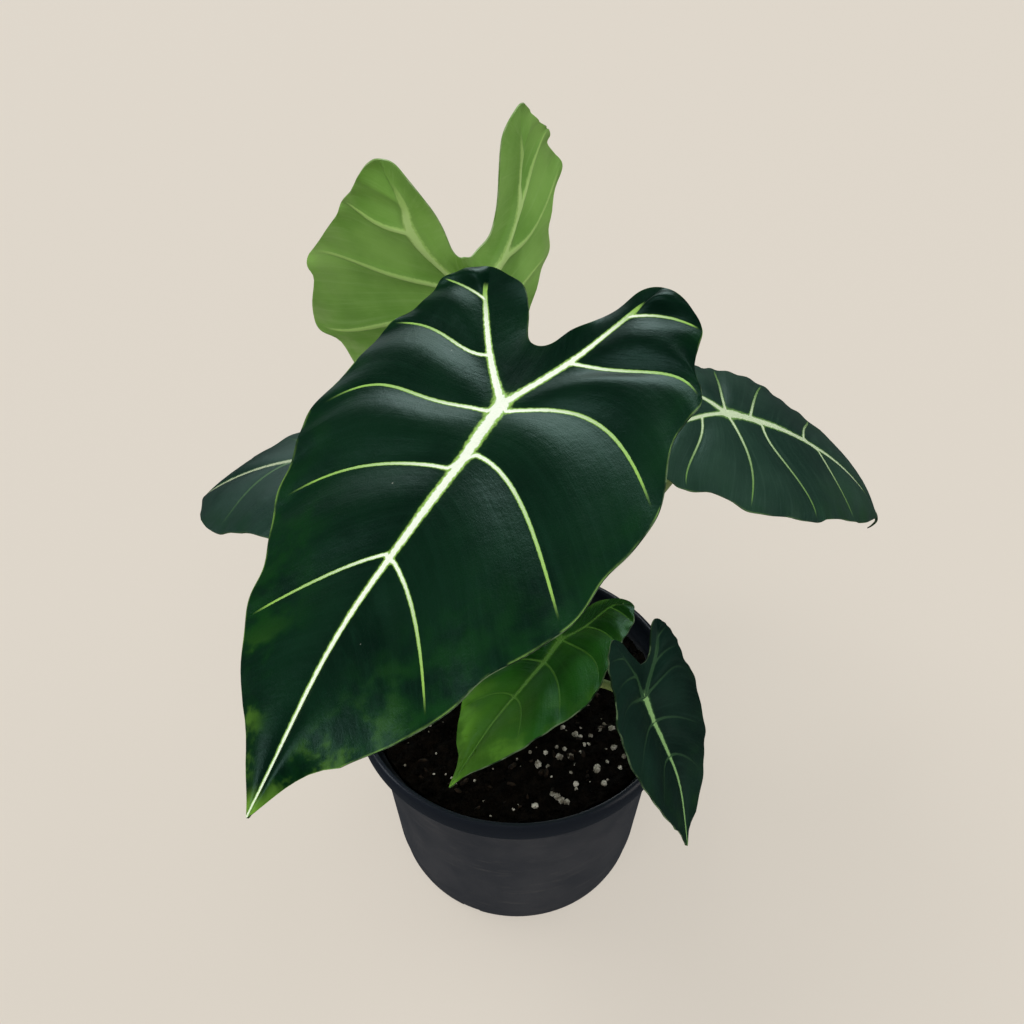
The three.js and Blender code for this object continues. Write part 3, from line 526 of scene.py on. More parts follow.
BACK_RIGHT = COMMON | {
    "rib": [(45, -52), (46, -36), (38, -15.5), (0, 0), (0, 20), (0, 66), (0, 159)],
    "outline": [
        (0, -24), (7, -21), (17, -21.7), (24, -31), (30, -49.5), (36.5, -58.5), (44, -61.5),
        (52, -56.7), (58.5, -47.7), (65, -39.7), (72.5, -31), (76, -19.5), (81.5, -6), (64, 5.5),
        (59.5, 25), (48, 43), (42, 86), (24, 127), (0, 159),
    ],
    "courses": [(0, 0, 0), (-1.5, -6.5, -4.5), (3.5, 9.5, -18), (-1, 0, 0), (-5.5, 0, 0)],
}
YOUNG_RIGHT = COMMON | {
    "rib": [(42, -49), (30, -43), (17, -18), (0, 0), (0, 26), (0, 66), (0, 162)],
    "outline": [
        (0, -36), (5, -39), (12, -46), (22, -51.5), (33, -54.5), (46, -53.5), (54.5, -50), (60, -43),
        (64.5, -34), (66.5, -21), (68, -8), (72, 14), (77, 36), (76.5, 55), (68, 75), (58, 94),
        (46, 112), (20, 136), (0, 162),
    ],
}
YOUNG_LEFT = COMMON | {
    "rib": [(36, -47), (32, -40), (18, -19), (0, 0), (0, 26), (0, 66), (0, 162)],
    "outline": [
        (0, -36), (5.5, -38), (10.5, -41), (16, -45), (22, -49), (30, -52), (38, -53), (49, -50),
        (57, -43), (66, -29), (71.5, -16), (74.5, 5), (75.5, 27), (73, 44), (64, 62), (53, 79),
        (43, 95), (23, 125), (0, 162),
    ],
}
SMALL_LEFT = COMMON | {
    "rib": [(38, -64), (31, -48), (17.5, -24), (0, 0), (0, 26), (0, 66), (0, 157)],
    "outline": [
        (0, -28), (4.5, -34), (10, -43), (15.5, -51), (22.5, -58.5), (31, -66), (40.5, -71),
        (53, -68.5), (64.5, -59), (69, -46), (72, -31), (78, -15), (74, 3), (75.5, 25), (70.5, 52),
        (65, 74), (54, 97), (30, 124), (0, 157),
    ],
    "drip": 0.3,
}
SMALL_RIGHT = COMMON | {
    "rib": [(38, -51), (33, -40), (18, -20), (0, 0), (0, 26), (0, 66), (0, 157)],
    "outline": [
        (0, -28), (9.5, -27.5), (18.5, -33), (23.5, -40.5), (28, -47.5), (33, -54.5), (40.5, -56.5),
        (47.5, -50.5), (53, -43), (57, -31), (60, -19), (68.5, -3), (75, 13), (70.5, 37), (60.5, 67),
        (47, 85), (37, 107), (21, 134), (0, 157),
    ],
    "drip": 0.3,
}
RIGHT_NEAR = COMMON | {
    "rib": [(28, -47), (20, -37), (8, -18), (0, 0), (0, 20), (0, 65), (0, 159)],
    "outline": [
        (0, -25), (3, -27.5), (6, -33), (10, -41), (15, -49), (24, -55), (34, -56), (46, -54),
        (56, -49), (64, -41), (70, -29.5), (69.4, -10), (76.6, 14.5), (71.5, 44), (66, 69), (57, 82.5),
        (40, 113.5), (26.5, 133.5), (0, 159),
    ],
    "courses": [(-1.5, 0, 0), (0, -6.5, -1), (7.5, 1, -2), (-3, 14, 3.5), (-2.5, 4, -2)],
    "start": [0, 0, 0, 0, 6.5, 8.5, 0],
    "drip": 0,
}
RIGHT_FAR = COMMON | {
    "rib": [(36, -47), (32, -40), (18, -19), (0, 0), (0, 20), (0, 65), (0, 159)],
    "outline": [
        (0, -25), (5.5, -27), (10.5, -32), (16, -40), (22, -46.5), (30, -51), (38, -53), (49, -50),
        (57, -43), (66, -33), (70, -24), (73, -8), (75, 7), (73, 27), (67.5, 47.5), (59, 66),
        (54, 88.5), (34, 121), (0, 159),
    ],
    "courses": [(-1.5, 0, 0), (-3, 0, 0), (-1, 0, -1.5), (-3, -1.5, -0.5), (-2, 4, 1)],
    "start": [0, 0, 0, 0, -3, -4, 0],
    "drip": 0.1,
}
LEFT_NEAR = COMMON | {
    "outline": [
        (0, -25), (5.5, -27), (10.5, -32), (16, -40), (22, -46.5), (30, -51), (38, -53), (49, -50),
        (57, -43), (66, -29), (71.5, -16), (74.5, 5), (75.5, 27), (72, 45), (65, 66), (60.3, 86),
        (54, 109), (33, 136.7), (0, 159),
    ],
    "courses": [(-1.5, 0, 0), (-4.5, 0, 0), (-12.5, -9.5, -4), (-9.5, 0, 0), (8, -8, 0)],
    "start": [0, 0, 0, 0, 0, 5, 0],
    "drip": 0,
}

# Leaves: where each navel is, which way the tip points, how the blade tilts and bends, and its petiole.
# Angles are in degrees, and droop, lobe_lift and cup are one over the radius of a bend in metres. bow
# carries the middle of the midrib to one side, and skew does the same to the notch.
LEAVES = [
    {
        "name": "front", "length": 159, "navel": (-6, -23, 297),
        "heading": 233.7, "slope": -24, "roll": -18.3,
        "droop": 0.9, "lobe_lift": 6, "fold": (0.7, -5.4), "cup": (2.4, -0.2), "bow": 5.6, "skew": 0,
        "wave": 1.6, "waves": 2.5, "halves": (FRONT_LEFT, FRONT_RIGHT), "midrib": 2.4,
        "angle": 215, "foot": 4.6, "top": 2.9, "route": [(-10, -5, 125), (-9, -1, 195), (-2, -13, 262)],
    },
    {
        "name": "back", "length": 181, "navel": (-17, 95, 262),
        "heading": 93.6, "slope": -77.7, "roll": 17.6,
        "droop": -1, "lobe_lift": 0.2, "fold": (38, 38), "cup": (2, 2), "bow": 0, "skew": -6.5,
        "wave": 1.5, "waves": 2.6, "halves": (BACK_RIGHT, BACK_LEFT), "midrib": 2.4,
        "laterals": (2, 3, 4, 5), "broad": 1.6,
        "angle": 75, "foot": 4.6, "top": 2.9,
        "route": [(5, 15, 125), (11, 28, 180), (9, 52, 228), (-4, 74, 252)],
    },
    {
        "name": "right", "length": 105, "navel": (92, 63, 224),
        "heading": -0.7, "slope": -13, "roll": 0,
        "droop": 8.3, "lobe_lift": -1.4, "fold": (-5.4, -5.4), "cup": (-4.9, -4.9), "bow": 0, "skew": 0,
        "wave": 1.2, "waves": 3.1, "halves": (RIGHT_NEAR, RIGHT_FAR), "midrib": 1.8,
        "broad": 1.3, "drip_tip": [(0.6, 0, -2.9), (-0.9, 0, -6), (-2.5, 0, -7.6)],
        "angle": 15, "foot": 3.9, "top": 2.3,
        "route": [(17, 7, 125), (38, 24, 165), (66, 46, 198), (86, 61, 213)],
    },
    {
        "name": "left", "length": 111, "navel": (-52.5, 30.5, 225.5),
        "heading": 162.3, "slope": -7, "roll": -4,
        "droop": 6, "lobe_lift": 1.2, "fold": (-2.3, -2.3), "cup": (-4.9, -4.9), "bow": 0, "skew": 0,
        "wave": 1.2, "waves": 2.7, "halves": (COMMON, LEFT_NEAR), "midrib": 1.8,
        "broad": 1.4, "faint": 0.45,
        "angle": 150, "foot": 4.1, "top": 2.5, "route": [(-15, 9, 125), (-28, 17, 165), (-43, 25, 202)],
    },
    {
        "name": "young", "length": 72, "navel": (17.1, -37.5, 189.1),
        "heading": 233.5, "slope": -16.6, "roll": -27,
        "droop": -1, "lobe_lift": -0.5, "fold": (4.4, 4.4), "cup": (-2.2, -2.2), "bow": 6.5, "skew": 0,
        "wave": 0.8, "waves": 2.5, "halves": (YOUNG_LEFT, YOUNG_RIGHT), "midrib": 1.2,
        "faint": 0.7,
        "angle": 270, "foot": 2.6, "top": 1.6, "route": [(1, -15, 122), (7, -23, 150), (13, -33, 175)],
    },
    {
        "name": "small", "length": 65, "navel": (47.6, -68.8, 192.6),
        "heading": 303.5, "slope": -51.8, "roll": 28.4,
        "droop": 2.3, "lobe_lift": 0.1, "fold": (11, 11), "cup": (-1.7, -1.7), "bow": -11.5, "skew": -12.4,
        "wave": 0.7, "waves": 2.5, "halves": (SMALL_LEFT, SMALL_RIGHT), "midrib": 1.2,
        "broad": 1.5, "faint": 0.25,
        "angle": 318, "foot": 2.5, "top": 1.5,
        "route": [(12, -12, 122), (23, -28, 148), (34, -46, 172), (41, -62, 186)],
    },
]
NOTCH_DEPTH = 27
START_SHARE = 0.06
STRAIGHT = (0, 0, 0)
CALM_WIDTH = 12
CALM_STATIONS = 0.9
KEEL = 7
LOBE_END = 6


def leaf_axes(leaf):
    """A leaf's own axes: across, along the midrib to the tip, and out of the upper face."""
    heading, slope, roll = (math.radians(leaf[key]) for key in ("heading", "slope", "roll"))
    along = np.array([
        math.cos(slope) * math.cos(heading), math.cos(slope) * math.sin(heading), math.sin(slope),
    ])
    level = np.array([math.sin(heading), -math.cos(heading), 0])
    across = math.cos(roll) * level + math.sin(roll) * np.cross(level, along)
    return across, along, np.cross(across, along)


def gentle(share):
    share = np.clip(share, 0, 1)
    return share * share * (3 - 2 * share)


def sideways(leaf, y):
    """How far to one side the midrib, or below the navel the notch, stands in the leaf plane."""
    scale = leaf["length"] / LEAF_LENGTH
    ahead = np.clip(y / leaf["length"], 0, 1) ** 1.25
    return scale * (
        leaf["bow"] * np.sin(math.pi * ahead) ** 2 + leaf["skew"] * gentle(-y / scale / NOTCH_DEPTH)
    )


def bent(leaf, x, y):
    """The bent surface: arcs along the midrib and across each half carry leaf-plane points into space."""
    across, along, up = leaf_axes(leaf)
    side = (x < 0).astype(int)
    bend = np.where(y > 0, leaf["droop"], -leaf["lobe_lift"]) / 1000
    bend = np.where(np.abs(bend) < 1e-7, 1e-7, bend)
    cup = np.array(leaf["cup"])[side] / 1000
    fold = np.radians(np.array(leaf["fold"])[side])
    reached = np.abs(x)
    width = np.sign(x) * (np.sin(fold + cup * reached) - np.sin(fold)) / cup + sideways(leaf, y)
    climbed = reached * (1 - np.exp(-(reached / KEEL) ** 2))
    rise = (np.cos(fold) - np.cos(fold + cup * climbed)) / cup
    reach = np.sin(bend * y) / bend
    drop = (np.cos(bend * y) - 1) / bend
    tilt = -bend * y
    return (
        np.array(leaf["navel"]) + width[..., None] * across
        + (reach - np.sin(tilt) * rise)[..., None] * along
        + (drop + np.cos(tilt) * rise)[..., None] * up
    )


def smooth_through(points, at):
    """A smooth curve through listed points, read at the places in at, where whole numbers are the points."""
    points = np.array(points, float)
    last = len(points) - 1
    i = np.minimum(np.floor(at).astype(int), last - 1)
    t = (at - i)[..., None]
    before, here = points[np.maximum(i - 1, 0)], points[i]
    there, after = points[i + 1], points[np.minimum(i + 2, last)]
    leave, arrive = (there - before) / 2, (after - here) / 2
    return (
        (2 * t ** 3 - 3 * t ** 2 + 1) * here + (t ** 3 - 2 * t ** 2 + t) * leave
        + (3 * t ** 2 - 2 * t ** 3) * there + (t ** 3 - t ** 2) * arrive
    )


def half_leaf(half, station, share, in_notch):
    """Leaf-plane points of a half leaf: station counts the lateral veins, share runs from rib to margin."""
    outline = half["outline"]
    mirrored = (-outline[1][0], outline[1][1])
    lobe = smooth_through(half["rib"][:NAVEL_STATION + 1], np.minimum(station, NAVEL_STATION))
    blade = smooth_through(half["rib"][NAVEL_STATION:], np.maximum(station - NAVEL_STATION, 0))
    rib = np.where((station >= NAVEL_STATION)[..., None], blade, lobe)
    edge = smooth_through([mirrored, *outline], LOBE_END + 1 + 2 * station * (-1 if in_notch else 1))
    drawn_in = 1 - half["drip"] * np.sin(math.pi * np.clip(2 * (station - STATIONS) + 1, 0, 1))
    x = rib[..., 0] + (edge[..., 0] * drawn_in - rib[..., 0]) * share
    y = rib[..., 1] + (edge[..., 1] - rib[..., 1]) * share
    if not in_notch:
        courses = zip(STRAIGHT, *half["courses"], STRAIGHT)
        overall, outwards, at_ends = (np.interp(station, range(STATIONS + 1), course) for course in courses)
        beyond_middle = 2 * share - 1
        y = y + 4 * share * (1 - share) * (overall + outwards * beyond_middle + at_ends * beyond_middle ** 2)
        leaving = np.interp(station, range(STATIONS + 1), half["start"])
        y = y + leaving * gentle(share / START_SHARE) * (1 - share)
    return x, y


# Petioles: round fleshy leaf stalks, pale green with a waxy bloom, thick at the base where their sheaths wrap
# the corm, slimmer above, and a little swollen where they meet the blade's navel.
PETIOLE_FOOT = 90
PETIOLE_RING_RADIUS = 13.6
PETIOLE_STEPS = 90


def stalk_curve(points, steps):
    """A centripetal curve through the points, as the stalk grows."""
    points = [Vector(p) for p in points]
    ghosted = [points[0] * 2 - points[1], *points, points[-1] * 2 - points[-2]]
    line = []
    pieces = steps // (len(points) - 1) + 1
    for a, b, c, d in zip(ghosted, ghosted[1:], ghosted[2:], ghosted[3:]):
        t1 = (b - a).length ** 0.5
        t2 = t1 + (c - b).length ** 0.5
        t3 = t2 + (d - c).length ** 0.5
        for step in range(pieces):
            t = t1 + (t2 - t1) * step / pieces
            ab = a.lerp(b, t / t1)
            bc = b.lerp(c, (t - t1) / (t2 - t1))
            cd = c.lerp(d, (t - t2) / (t3 - t2))
            line.append(ab.lerp(bc, t / t2).lerp(bc.lerp(cd, (t - t1) / (t3 - t1)), (t - t1) / (t2 - t1)))
    return line + [points[-1]]


def rod(name, places, radii):
    """A round rod along a line of places, with a radius at each of them, closed at both ends."""
    deselect()
    bpy.ops.curve.primitive_nurbs_path_add()
    path = bpy.context.object
    path.name = name
    path.data.splines.clear()
    spline = path.data.splines.new("POLY")
    spline.points.add(len(places) - 1)
    for point, at, radius in zip(spline.points, places, radii):
        point.co = (*(at * MM), 1)
        point.radius = radius * MM
    path.data.bevel_depth = 1
    path.data.bevel_resolution = 6
    path.data.use_fill_caps = True
    bpy.ops.object.convert(target="MESH")
    bpy.ops.object.transform_apply(location=True, rotation=True, scale=True)
    bpy.context.object.data.materials.clear()
    return bpy.context.object


waxy = Finish("petiole_skin")
spot = waxy.place()
height_up = waxy.axis(spot, "Z")
freckles = waxy.noise(waxy.stretch(spot, (900, 900, 320)), 1, detail=3)
flush = waxy.noise(spot, 30, detail=3)
low_down = height_up.between(0.15, 0.1)
skin = waxy.mix(flush.between(0.35, 0.7), shade(118, 140, 78), shade(142, 160, 100))
skin = waxy.mix(low_down * 0.55, skin, shade(150, 134, 92))
skin = waxy.mix(freckles.between(0.54, 0.68) * 0.55, skin, shade(84, 104, 58))
waxy.bump(freckles, 0.15, 0.0004)
petiole_material = waxy.surface(Base_Color=skin, Roughness=0.42, Specular_IOR_Level=0.5)

for leaf in LEAVES:
    up = Vector(leaf_axes(leaf)[2])
    turn = math.radians(leaf["angle"])
    foot = Vector((PETIOLE_RING_RADIUS * math.cos(turn), PETIOLE_RING_RADIUS * math.sin(turn), 0))
    end = Vector(leaf["navel"]) - up * (leaf["midrib"] * 0.6)
    stalk = stalk_curve([
        *(foot + Vector((0, 0, height)) for height in (PETIOLE_FOOT, SOIL_LEVEL - 4, SOIL_LEVEL + 4)),
        *leaf["route"], end - up * 7, end,
    ], PETIOLE_STEPS)
    shares = np.linspace(0, 1, len(stalk))
    swelling = 1 + 0.22 * np.exp(-((1 - shares) * 26) ** 2) + 0.1 * np.exp(-(shares * 5) ** 2)
    radii = (leaf["foot"] + (leaf["top"] - leaf["foot"]) * shares ** 0.8) * swelling
    piece = rod(f"petiole_{leaf['name']}_stalk", stalk, radii)
    piece.data.materials.append(petiole_material)
    smooth_by_angle(piece, 60)
    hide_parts(f"petiole_{leaf['name']}")
    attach(piece, "root")


# Blades: leathery shields with a velvet upper face. The midrib, two lobe ribs and the side veins are pale
# and stand out under the blade, which swells between them; each is a fine mesh whose rows follow the veins.
MIDRIB_WIDTH = [(0, 6.4), (25, 4.5), (60, 3.2), (66, 2.7), (100, 1.9), (130, 1.4), (150, 1.0), (165, 0.8)]
LOBE_RIB_WIDTH = (3.1, 0.8)
LATERAL_WIDTH = {1: 0.9, 2: 1.15, 3: 1.35, 4: 1.35, 5: 1.35}
LAMINA = 0.7
MIDRIB_LEAST = 0.4
LOBE_RIB_HEIGHT = 1.6
LATERAL_HEIGHT = 0.9
SWELL = 2.6
VEIN_JOIN = 3.0
RUFFLE = 0.55
ROWS_PER_VEIN = {"front": 28, "back": 22, "right": 20}
COLUMNS = {"front": 47, "back": 38, "right": 37}
COLUMN_CROWDING = 1.25
PATCHES_APART = 10
NUDGE = 0.3
SHEEN = (0.6, 1, 0.9, 1)


def rows_along(count):
    """Station numbers for a mesh's rows, closer together beside each vein."""
    u = np.linspace(0, STATIONS, count * STATIONS + 1)
    return u - 0.7 * np.sin(2 * math.pi * u) / (2 * math.pi)


def patch_faces(rows, columns, flip):
    corner = np.arange(rows * columns).reshape(rows, columns)
    quads = np.stack([corner[:-1, :-1], corner[1:, :-1], corner[1:, 1:], corner[:-1, 1:]], -1).reshape(-1, 4)
    return quads[:, ::-1] if flip else quads


def vein_lines(half, leaf):
    """The veins of a half leaf: centre line, half width, colour strength and height, each along the vein."""
    scale = leaf["length"] / LEAF_LENGTH
    y = np.linspace(0, LEAF_LENGTH, 60)
    faint = leaf.get("faint", 1)
    lines = [(
        np.stack([0 * y, y], -1), np.interp(y, *zip(*MIDRIB_WIDTH)) / 2, 1 - 0.25 * (y / LEAF_LENGTH) ** 2,
        MIDRIB_LEAST + leaf["midrib"] * (1 - y / LEAF_LENGTH),
    )]
    along = np.linspace(0, 1, 40)
    lobe = np.stack(half_leaf(half, NAVEL_STATION * (1 - along), 0 * along, False), -1)
    lines.append((
        lobe, np.interp(along, (0, 1), LOBE_RIB_WIDTH) / 2, faint * (0.95 - 0.95 * gentle(along * 1.6 - 0.6)),
        LOBE_RIB_HEIGHT * scale * (1 - along),
    ))
    for station in leaf.get("laterals", LATERAL_WIDTH):
        x, y = half_leaf(half, 0 * along + station, along, False)
        lines.append((
            np.stack([x, y], -1), LATERAL_WIDTH[station] / 2 * (1 - 0.45 * along - 0.25 * along ** 3),
            faint * np.interp(along, (0, 0.12, 0.4, 0.8, 0.97), (0.95, 0.85, 0.6, 0.35, 0)),
            LATERAL_HEIGHT * scale * (1 - along) ** 0.7,
        ))
    return [(line, wide * leaf.get("broad", 1), colour, ridge) for line, wide, colour, ridge in lines]


def vein_fields(x, y, lines):
    """Distance to the veins in half widths, blended where they meet, with colour strength and height."""
    power = np.zeros(x.shape)
    strength = np.zeros(x.shape)
    height = np.zeros(x.shape)
    for line, half_width, colour, ridge in lines:
        start, run = line[:-1], line[1:] - line[:-1]
        size = np.maximum((run ** 2).sum(-1), 1e-9)
        offset = np.stack([x, y], -1)[:, None] - start
        t = np.clip((offset * run).sum(-1) / size, 0, 1)
        distance = np.sqrt(((offset - t[..., None] * run) ** 2).sum(-1))
        ratio = distance / (half_width[:-1] + (half_width[1:] - half_width[:-1]) * t)
        closest = ratio.argmin(1)
        chosen = (np.arange(len(x)), closest)
        near = np.maximum(ratio[chosen], 0.02)
        at = closest + t[chosen]
        places = range(len(line))
        power += near ** -VEIN_JOIN
        strength += near ** -VEIN_JOIN * np.interp(at, places, colour)
        height = np.maximum(height, np.interp(at, places, ridge) * gentle(1.35 - near * 0.45))
    return power ** (-1 / VEIN_JOIN), strength / power, height


def add_blade(leaf, faces_of_skin):
    """One blade: four patches joined along the ribs, bent into place, then given its thickness underneath."""
    scale = leaf["length"] / LEAF_LENGTH
    rows = rows_along(ROWS_PER_VEIN.get(leaf["name"], 14))
    shares = np.linspace(0, 1, COLUMNS.get(leaf["name"], 26)) ** COLUMN_CROWDING
    keys = ("x", "y", "lift", "u", "v", "vein", "strength", "ridge")
    blocks = {key: [] for key in keys}
    faces, count = [], 0
    for side, half in enumerate(leaf["halves"]):
        lines = vein_lines(half, leaf)
        for in_notch in (False, True):
            stations = rows[rows <= NAVEL_STATION + 1e-6] if in_notch else rows
            station, share = np.meshgrid(stations, shares, indexing="ij")
            x, y = half_leaf(half, station, share, in_notch)
            turn = 2 * math.pi * leaf["waves"] * station / STATIONS + side * 2
            calm = gentle(x / CALM_WIDTH) * gentle(station / CALM_STATIONS)
            wave = leaf["wave"] * share ** 2 * np.sin(turn)
            ruffle = RUFFLE * share ** 6 * np.sin(5 * turn + 1)
            swell = SWELL * np.abs(np.sin(math.pi * station)) ** 1.3 * 4 * share * (1 - share)
            lift = wave * calm if in_notch else swell + (wave + ruffle) * calm
            vein, strength, ridge = vein_fields(x.ravel(), y.ravel(), lines)
            row_number = station + PATCHES_APART * (side + 2 * in_notch)
            values = (
                (x if side == 0 else -x).ravel() * scale, y.ravel() * scale, (lift * scale).ravel(),
                row_number.ravel(), share.ravel(), vein, strength, ridge,
            )
            for key, value in zip(keys, values):
                blocks[key].append(value)
            faces.append(patch_faces(len(stations), len(shares), (side == 0) != in_notch) + count)
            count += station.size
    flat = {key: np.concatenate(value) for key, value in blocks.items()}
    x, y = flat["x"], flat["y"]
    inward = np.where(x < 0, -NUDGE, NUDGE)
    run_x = (bent(leaf, x + inward, y) - bent(leaf, x, y)) * np.sign(inward)[:, None]
    run_y = bent(leaf, x, y + NUDGE) - bent(leaf, x, y - NUDGE)
    run_x[np.abs(x) < 1e-6] = leaf_axes(leaf)[0]
    normal = np.cross(run_x, run_y)
    normal /= np.linalg.norm(normal, axis=1)[:, None]
    places = bent(leaf, x, y) + normal * (flat["lift"] + LAMINA / 2)[:, None]

    mesh = bpy.data.meshes.new(f"blade_{leaf['name']}_lamina")
    mesh.from_pydata((places * MM).tolist(), [], np.concatenate(faces).tolist())
    mesh.update()
    for key in ("vein", "strength"):
        mesh.attributes.new(key, "FLOAT", "POINT").data.foreach_set("value", flat[key].astype(np.float32))
    pattern = mesh.uv_layers.new(name="pattern")
    corners = np.empty(len(mesh.loops), int)
    mesh.loops.foreach_get("vertex_index", corners)
    pattern.data.foreach_set("uv", np.stack([flat["u"], flat["v"]], -1)[corners].astype(np.float32).ravel())
    piece = bpy.data.objects.new(mesh.name, mesh)
    bpy.context.scene.collection.objects.link(piece)
    for material in faces_of_skin:
        piece.data.materials.append(material)
    ridge = piece.vertex_groups.new(name="ridge")
    tallest = MIDRIB_LEAST + leaf["midrib"]
    for number in np.flatnonzero(flat["ridge"] > 0.01):
        ridge.add([int(number)], float(flat["ridge"][number] / tallest), "REPLACE")
    deselect()
    piece.select_set(True)
    bpy.context.view_layer.objects.active = piece
    bpy.ops.object.mode_set(mode="EDIT")
    bpy.ops.mesh.select_all(action="SELECT")
    bpy.ops.mesh.remove_doubles(threshold=0.00002)
    bpy.ops.mesh.dissolve_degenerate(threshold=0.00001)
    bpy.ops.object.mode_set(mode="OBJECT")
    wall = piece.modifiers.new("thickness", "SOLIDIFY")
    wall.thickness = (LAMINA + tallest) * MM
    wall.offset = -1
    wall.vertex_group = "ridge"
    wall.thickness_vertex_group = LAMINA / (LAMINA + tallest)
    wall.material_offset = 1
    wall.material_offset_rim = 2
    bpy.ops.object.modifier_apply(modifier=wall.name)
    smooth_by_angle(piece, 70)
    return piece


def leaf_finish(
    name, dark, light, green, gleam, edge, core, rough, paint,
    tip=None, tip_depth=0.4, tip_wash=0.0, lines=1.0, level=0.34,
):
    """Leaf skin: satin streaks along the side veins, lightened with painted sheen, greener margins, pale
    veins that fade outwards, and painted shade in the valleys beside the veins.
    """
    skin = Finish(name)
    spot = skin.place()
    pattern = skin.node("ShaderNodeUVMap", {"uv_map": "pattern"}, {})
    station = skin.axis(pattern, "X").math("MODULO", PATCHES_APART)
    share = skin.axis(pattern, "Y")
    ragged = skin.noise(spot, 700, detail=3)
    across = skin.attribute("vein") + (ragged - 0.5) * 0.8
    strength = skin.attribute("strength")
    patches = skin.noise(spot, 22, detail=4)
    mottle = skin.noise(spot, 85, detail=4)
    streaks = skin.noise(skin.stretch(pattern, (15, 1.2, 1)), 1, detail=3, distortion=0.3)
    fine = skin.noise(skin.stretch(pattern, (90, 7, 1)), 1, detail=3, distortion=0.5)
    threads = (skin.noise(skin.stretch(pattern, (30, 1.6, 1)), 1, detail=1) - 0.5).math("ABSOLUTE")
    nap = skin.noise(spot, 1500, detail=2)
    specks = skin.noise(spot, 420, detail=1)
    lamina = skin.mix(patches.between(0.32, 0.7), dark, light)
    # Painted sheen: the streaks, fine lines and threads along the side veins are real striations, mixed
    # towards the lighter gleam colour that paints the satin sheen on them.
    lamina = skin.mix(streaks.between(0.5, 0.75) * 0.3, lamina, gleam)
    lamina = skin.mix(fine.between(0.55, 0.8) * 0.2, lamina, gleam)
    lamina = skin.mix(threads.between(0.03, 0.008) * 0.22 * lines, lamina, gleam)
    outer = (share * 0.75 + station.between(3.4, 5.6) * 0.35).between(0.5, 1.0)
    lamina = skin.mix(outer * mottle.between(0.38, 0.66) * 0.7, lamina, green)
    if tip:
        lamina = skin.mix(station.between(4.2, 6) * tip_wash, lamina, tip)
        flecks = share.between(0.45, 1) * mottle.between(0.5, 0.64) * tip_depth
        lamina = skin.mix(station.between(5.0, 5.9) * flecks, lamina, tip)
        lamina = skin.mix(station.between(5.82, 5.97) * share.between(0.0, 0.3), lamina, tip)
    shown = strength.between(0.02, 0.3) * paint
    lamina = skin.mix(across.between(2.8, 1.1) * shown * 0.4, lamina, green)
    lamina = skin.mix(across.between(1.6, 1.0) * shown, lamina, edge)
    lamina = skin.mix(across.between(1.0, 0.7) * shown * strength.between(0.3, 0.95), lamina, core)
    lamina = skin.mix(share.between(0.99, 0.999) * mottle.between(0.4, 0.6) * 0.45, lamina, edge)
    lamina = skin.mix(specks.between(0.83, 0.87) * 0.25, lamina, core)
    # Painted shade: the blade is darkened towards its darkest tone in the valleys beside the veins, where the
    # quilted surface dips.
    valley_shade = across.between(4.5, 1.2) * strength.between(0.1, 0.6)
    lamina = skin.mix(valley_shade * 0.3 * across.between(1.1, 1.5), lamina, dark)
    velvety = skin.noise(spot, 260, detail=3) * 0.5 + nap * 0.25 + streaks * 0.35 + fine * 0.12 + mottle * 0.9
    skin.bump(velvety + across.between(1.5, 0.6) * strength, 0.4, 0.0005)
    return skin.surface(
        Base_Color=lamina, Specular_IOR_Level=level, Specular_Tint=SHEEN,
        Roughness=rough + (patches - 0.5) * 0.16 + (streaks - 0.5) * 0.12 - across.between(1.8, 0.9) * 0.04,
    )


velvet = leaf_finish(
    "velvet_dark", dark=shade(1, 22, 10), light=shade(4, 36, 16), green=shade(12, 58, 10),
    gleam=shade(10, 44, 26), edge=shade(146, 190, 86), core=shade(246, 254, 236), rough=0.32, paint=1,
    tip=shade(120, 172, 52),
)
# Painted light: the right leaf's skin is a lighter, greyer copy of the front leaf's velvet, standing in for
# the sheen that its steeply seen face catches.
velvet_lit_right = leaf_finish(
    "velvet_dark_lit_copy_right", dark=shade(26, 49, 39), light=shade(42, 68, 54), green=shade(32, 66, 38),
    gleam=shade(54, 80, 66), edge=shade(110, 150, 76), core=shade(212, 228, 190), rough=0.34, paint=0.9,
)
# Painted light: the left leaf's skin is likewise a lighter copy of the front leaf's velvet, a little darker
# than the right leaf's, standing in for the sheen it catches.
velvet_lit_left = leaf_finish(
    "velvet_dark_lit_copy_left", dark=shade(22, 44, 36), light=shade(36, 60, 50), green=shade(24, 54, 34),
    gleam=shade(44, 68, 58), edge=shade(70, 104, 64), core=shade(196, 206, 172), rough=0.34, paint=0.8,
)
velvet_small = leaf_finish(
    "velvet_dark_small", dark=shade(9, 29, 22), light=shade(22, 50, 38), green=shade(20, 50, 27),
    gleam=shade(32, 58, 48), edge=shade(56, 88, 56), core=shade(156, 200, 126), rough=0.42, paint=0.85,
    tip=shade(40, 76, 38), lines=0.4, level=0.12,
)
velvet_under = leaf_finish(
    "velvet_dark_under", dark=shade(62, 92, 56), light=shade(74, 106, 62), green=shade(80, 116, 62),
    gleam=shade(92, 126, 74), edge=shade(120, 150, 92), core=shade(160, 184, 122), rough=0.55, paint=1,
)
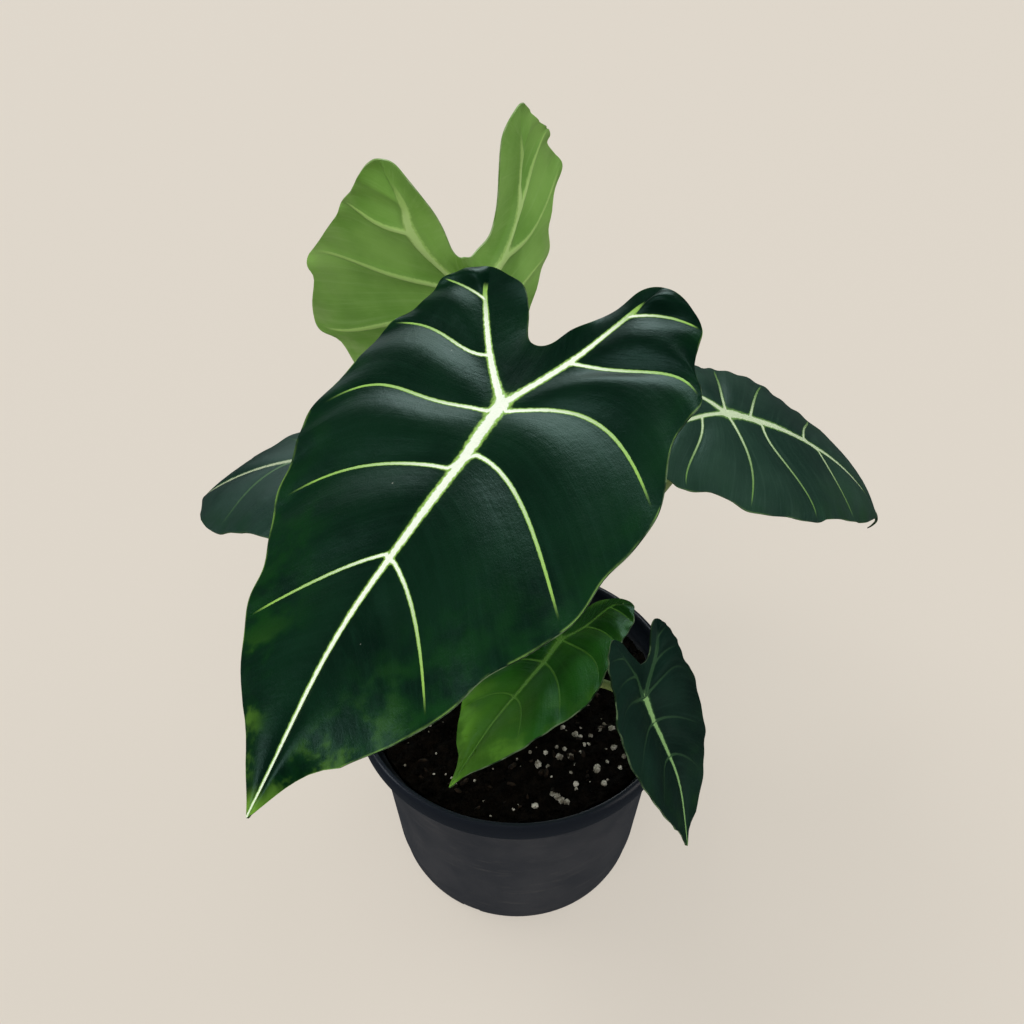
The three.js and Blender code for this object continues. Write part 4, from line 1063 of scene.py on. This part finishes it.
# Painted light: the back leaf's underside is its own pale green made brighter still, standing in for light
# shining through the blade from behind.
pale_backlit_under = leaf_finish(
    "pale_backlit_under", dark=shade(110, 160, 58), light=shade(146, 196, 92), green=shade(148, 178, 108),
    gleam=shade(160, 202, 116), edge=shade(178, 220, 118), core=shade(202, 238, 150), rough=0.55, paint=0.75,
    lines=0.5,
)
bright = leaf_finish(
    "bright_young", dark=shade(2, 44, 2), light=shade(48, 118, 32), green=shade(112, 172, 56),
    gleam=shade(60, 116, 48), edge=shade(88, 142, 56), core=shade(120, 170, 80), rough=0.3, paint=0.6,
    tip=shade(134, 200, 66), tip_depth=1.2, tip_wash=0.35, level=0.25,
)
bright_under = leaf_finish(
    "bright_young_under", dark=shade(76, 116, 50), light=shade(92, 132, 58), green=shade(96, 136, 60),
    gleam=shade(116, 150, 74), edge=shade(140, 176, 92), core=shade(170, 200, 120), rough=0.45, paint=0.8,
)


def edge_finish(name, darker, paler):
    rim = Finish(name)
    worn = rim.noise(rim.place(), 160, detail=3)
    return rim.surface(Base_Color=rim.mix(worn.between(0.4, 0.62), darker, paler), Roughness=0.5)


dark_edge = edge_finish("blade_dark_edge", shade(24, 50, 26), shade(104, 132, 92))
pale_edge = edge_finish("blade_pale_edge", shade(112, 152, 70), shade(150, 176, 120))
SKINS = {
    "front": (velvet, velvet_under, dark_edge), "back": (velvet, pale_backlit_under, pale_edge),
    "right": (velvet_lit_right, velvet_under, dark_edge), "left": (velvet_lit_left, velvet_under, dark_edge),
    "young": (bright, bright_under, dark_edge), "small": (velvet_small, velvet_under, dark_edge),
}
for leaf in LEAVES:
    blade = add_blade(leaf, SKINS[leaf["name"]])
    if "drip_tip" in leaf:
        tip = Vector(bent(leaf, np.array([0.0]), np.array([leaf["length"] - 2.5]))[0])
        end = Vector(bent(leaf, np.array([0.0]), np.array([float(leaf["length"])]))[0])
        curl = stalk_curve([tip, end, *(end + Vector(step) for step in leaf["drip_tip"])], 24)
        thread = rod("drip_tip", curl, np.linspace(1.0, 0.25, len(curl)))
        thread.data.materials.append(SKINS[leaf["name"]][2])
        smooth_by_angle(thread, 60)
        deselect()
        thread.select_set(True)
        blade.select_set(True)
        bpy.context.view_layer.objects.active = blade
        bpy.ops.object.join()
    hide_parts(f"blade_{leaf['name']}")
    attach(blade, "root")
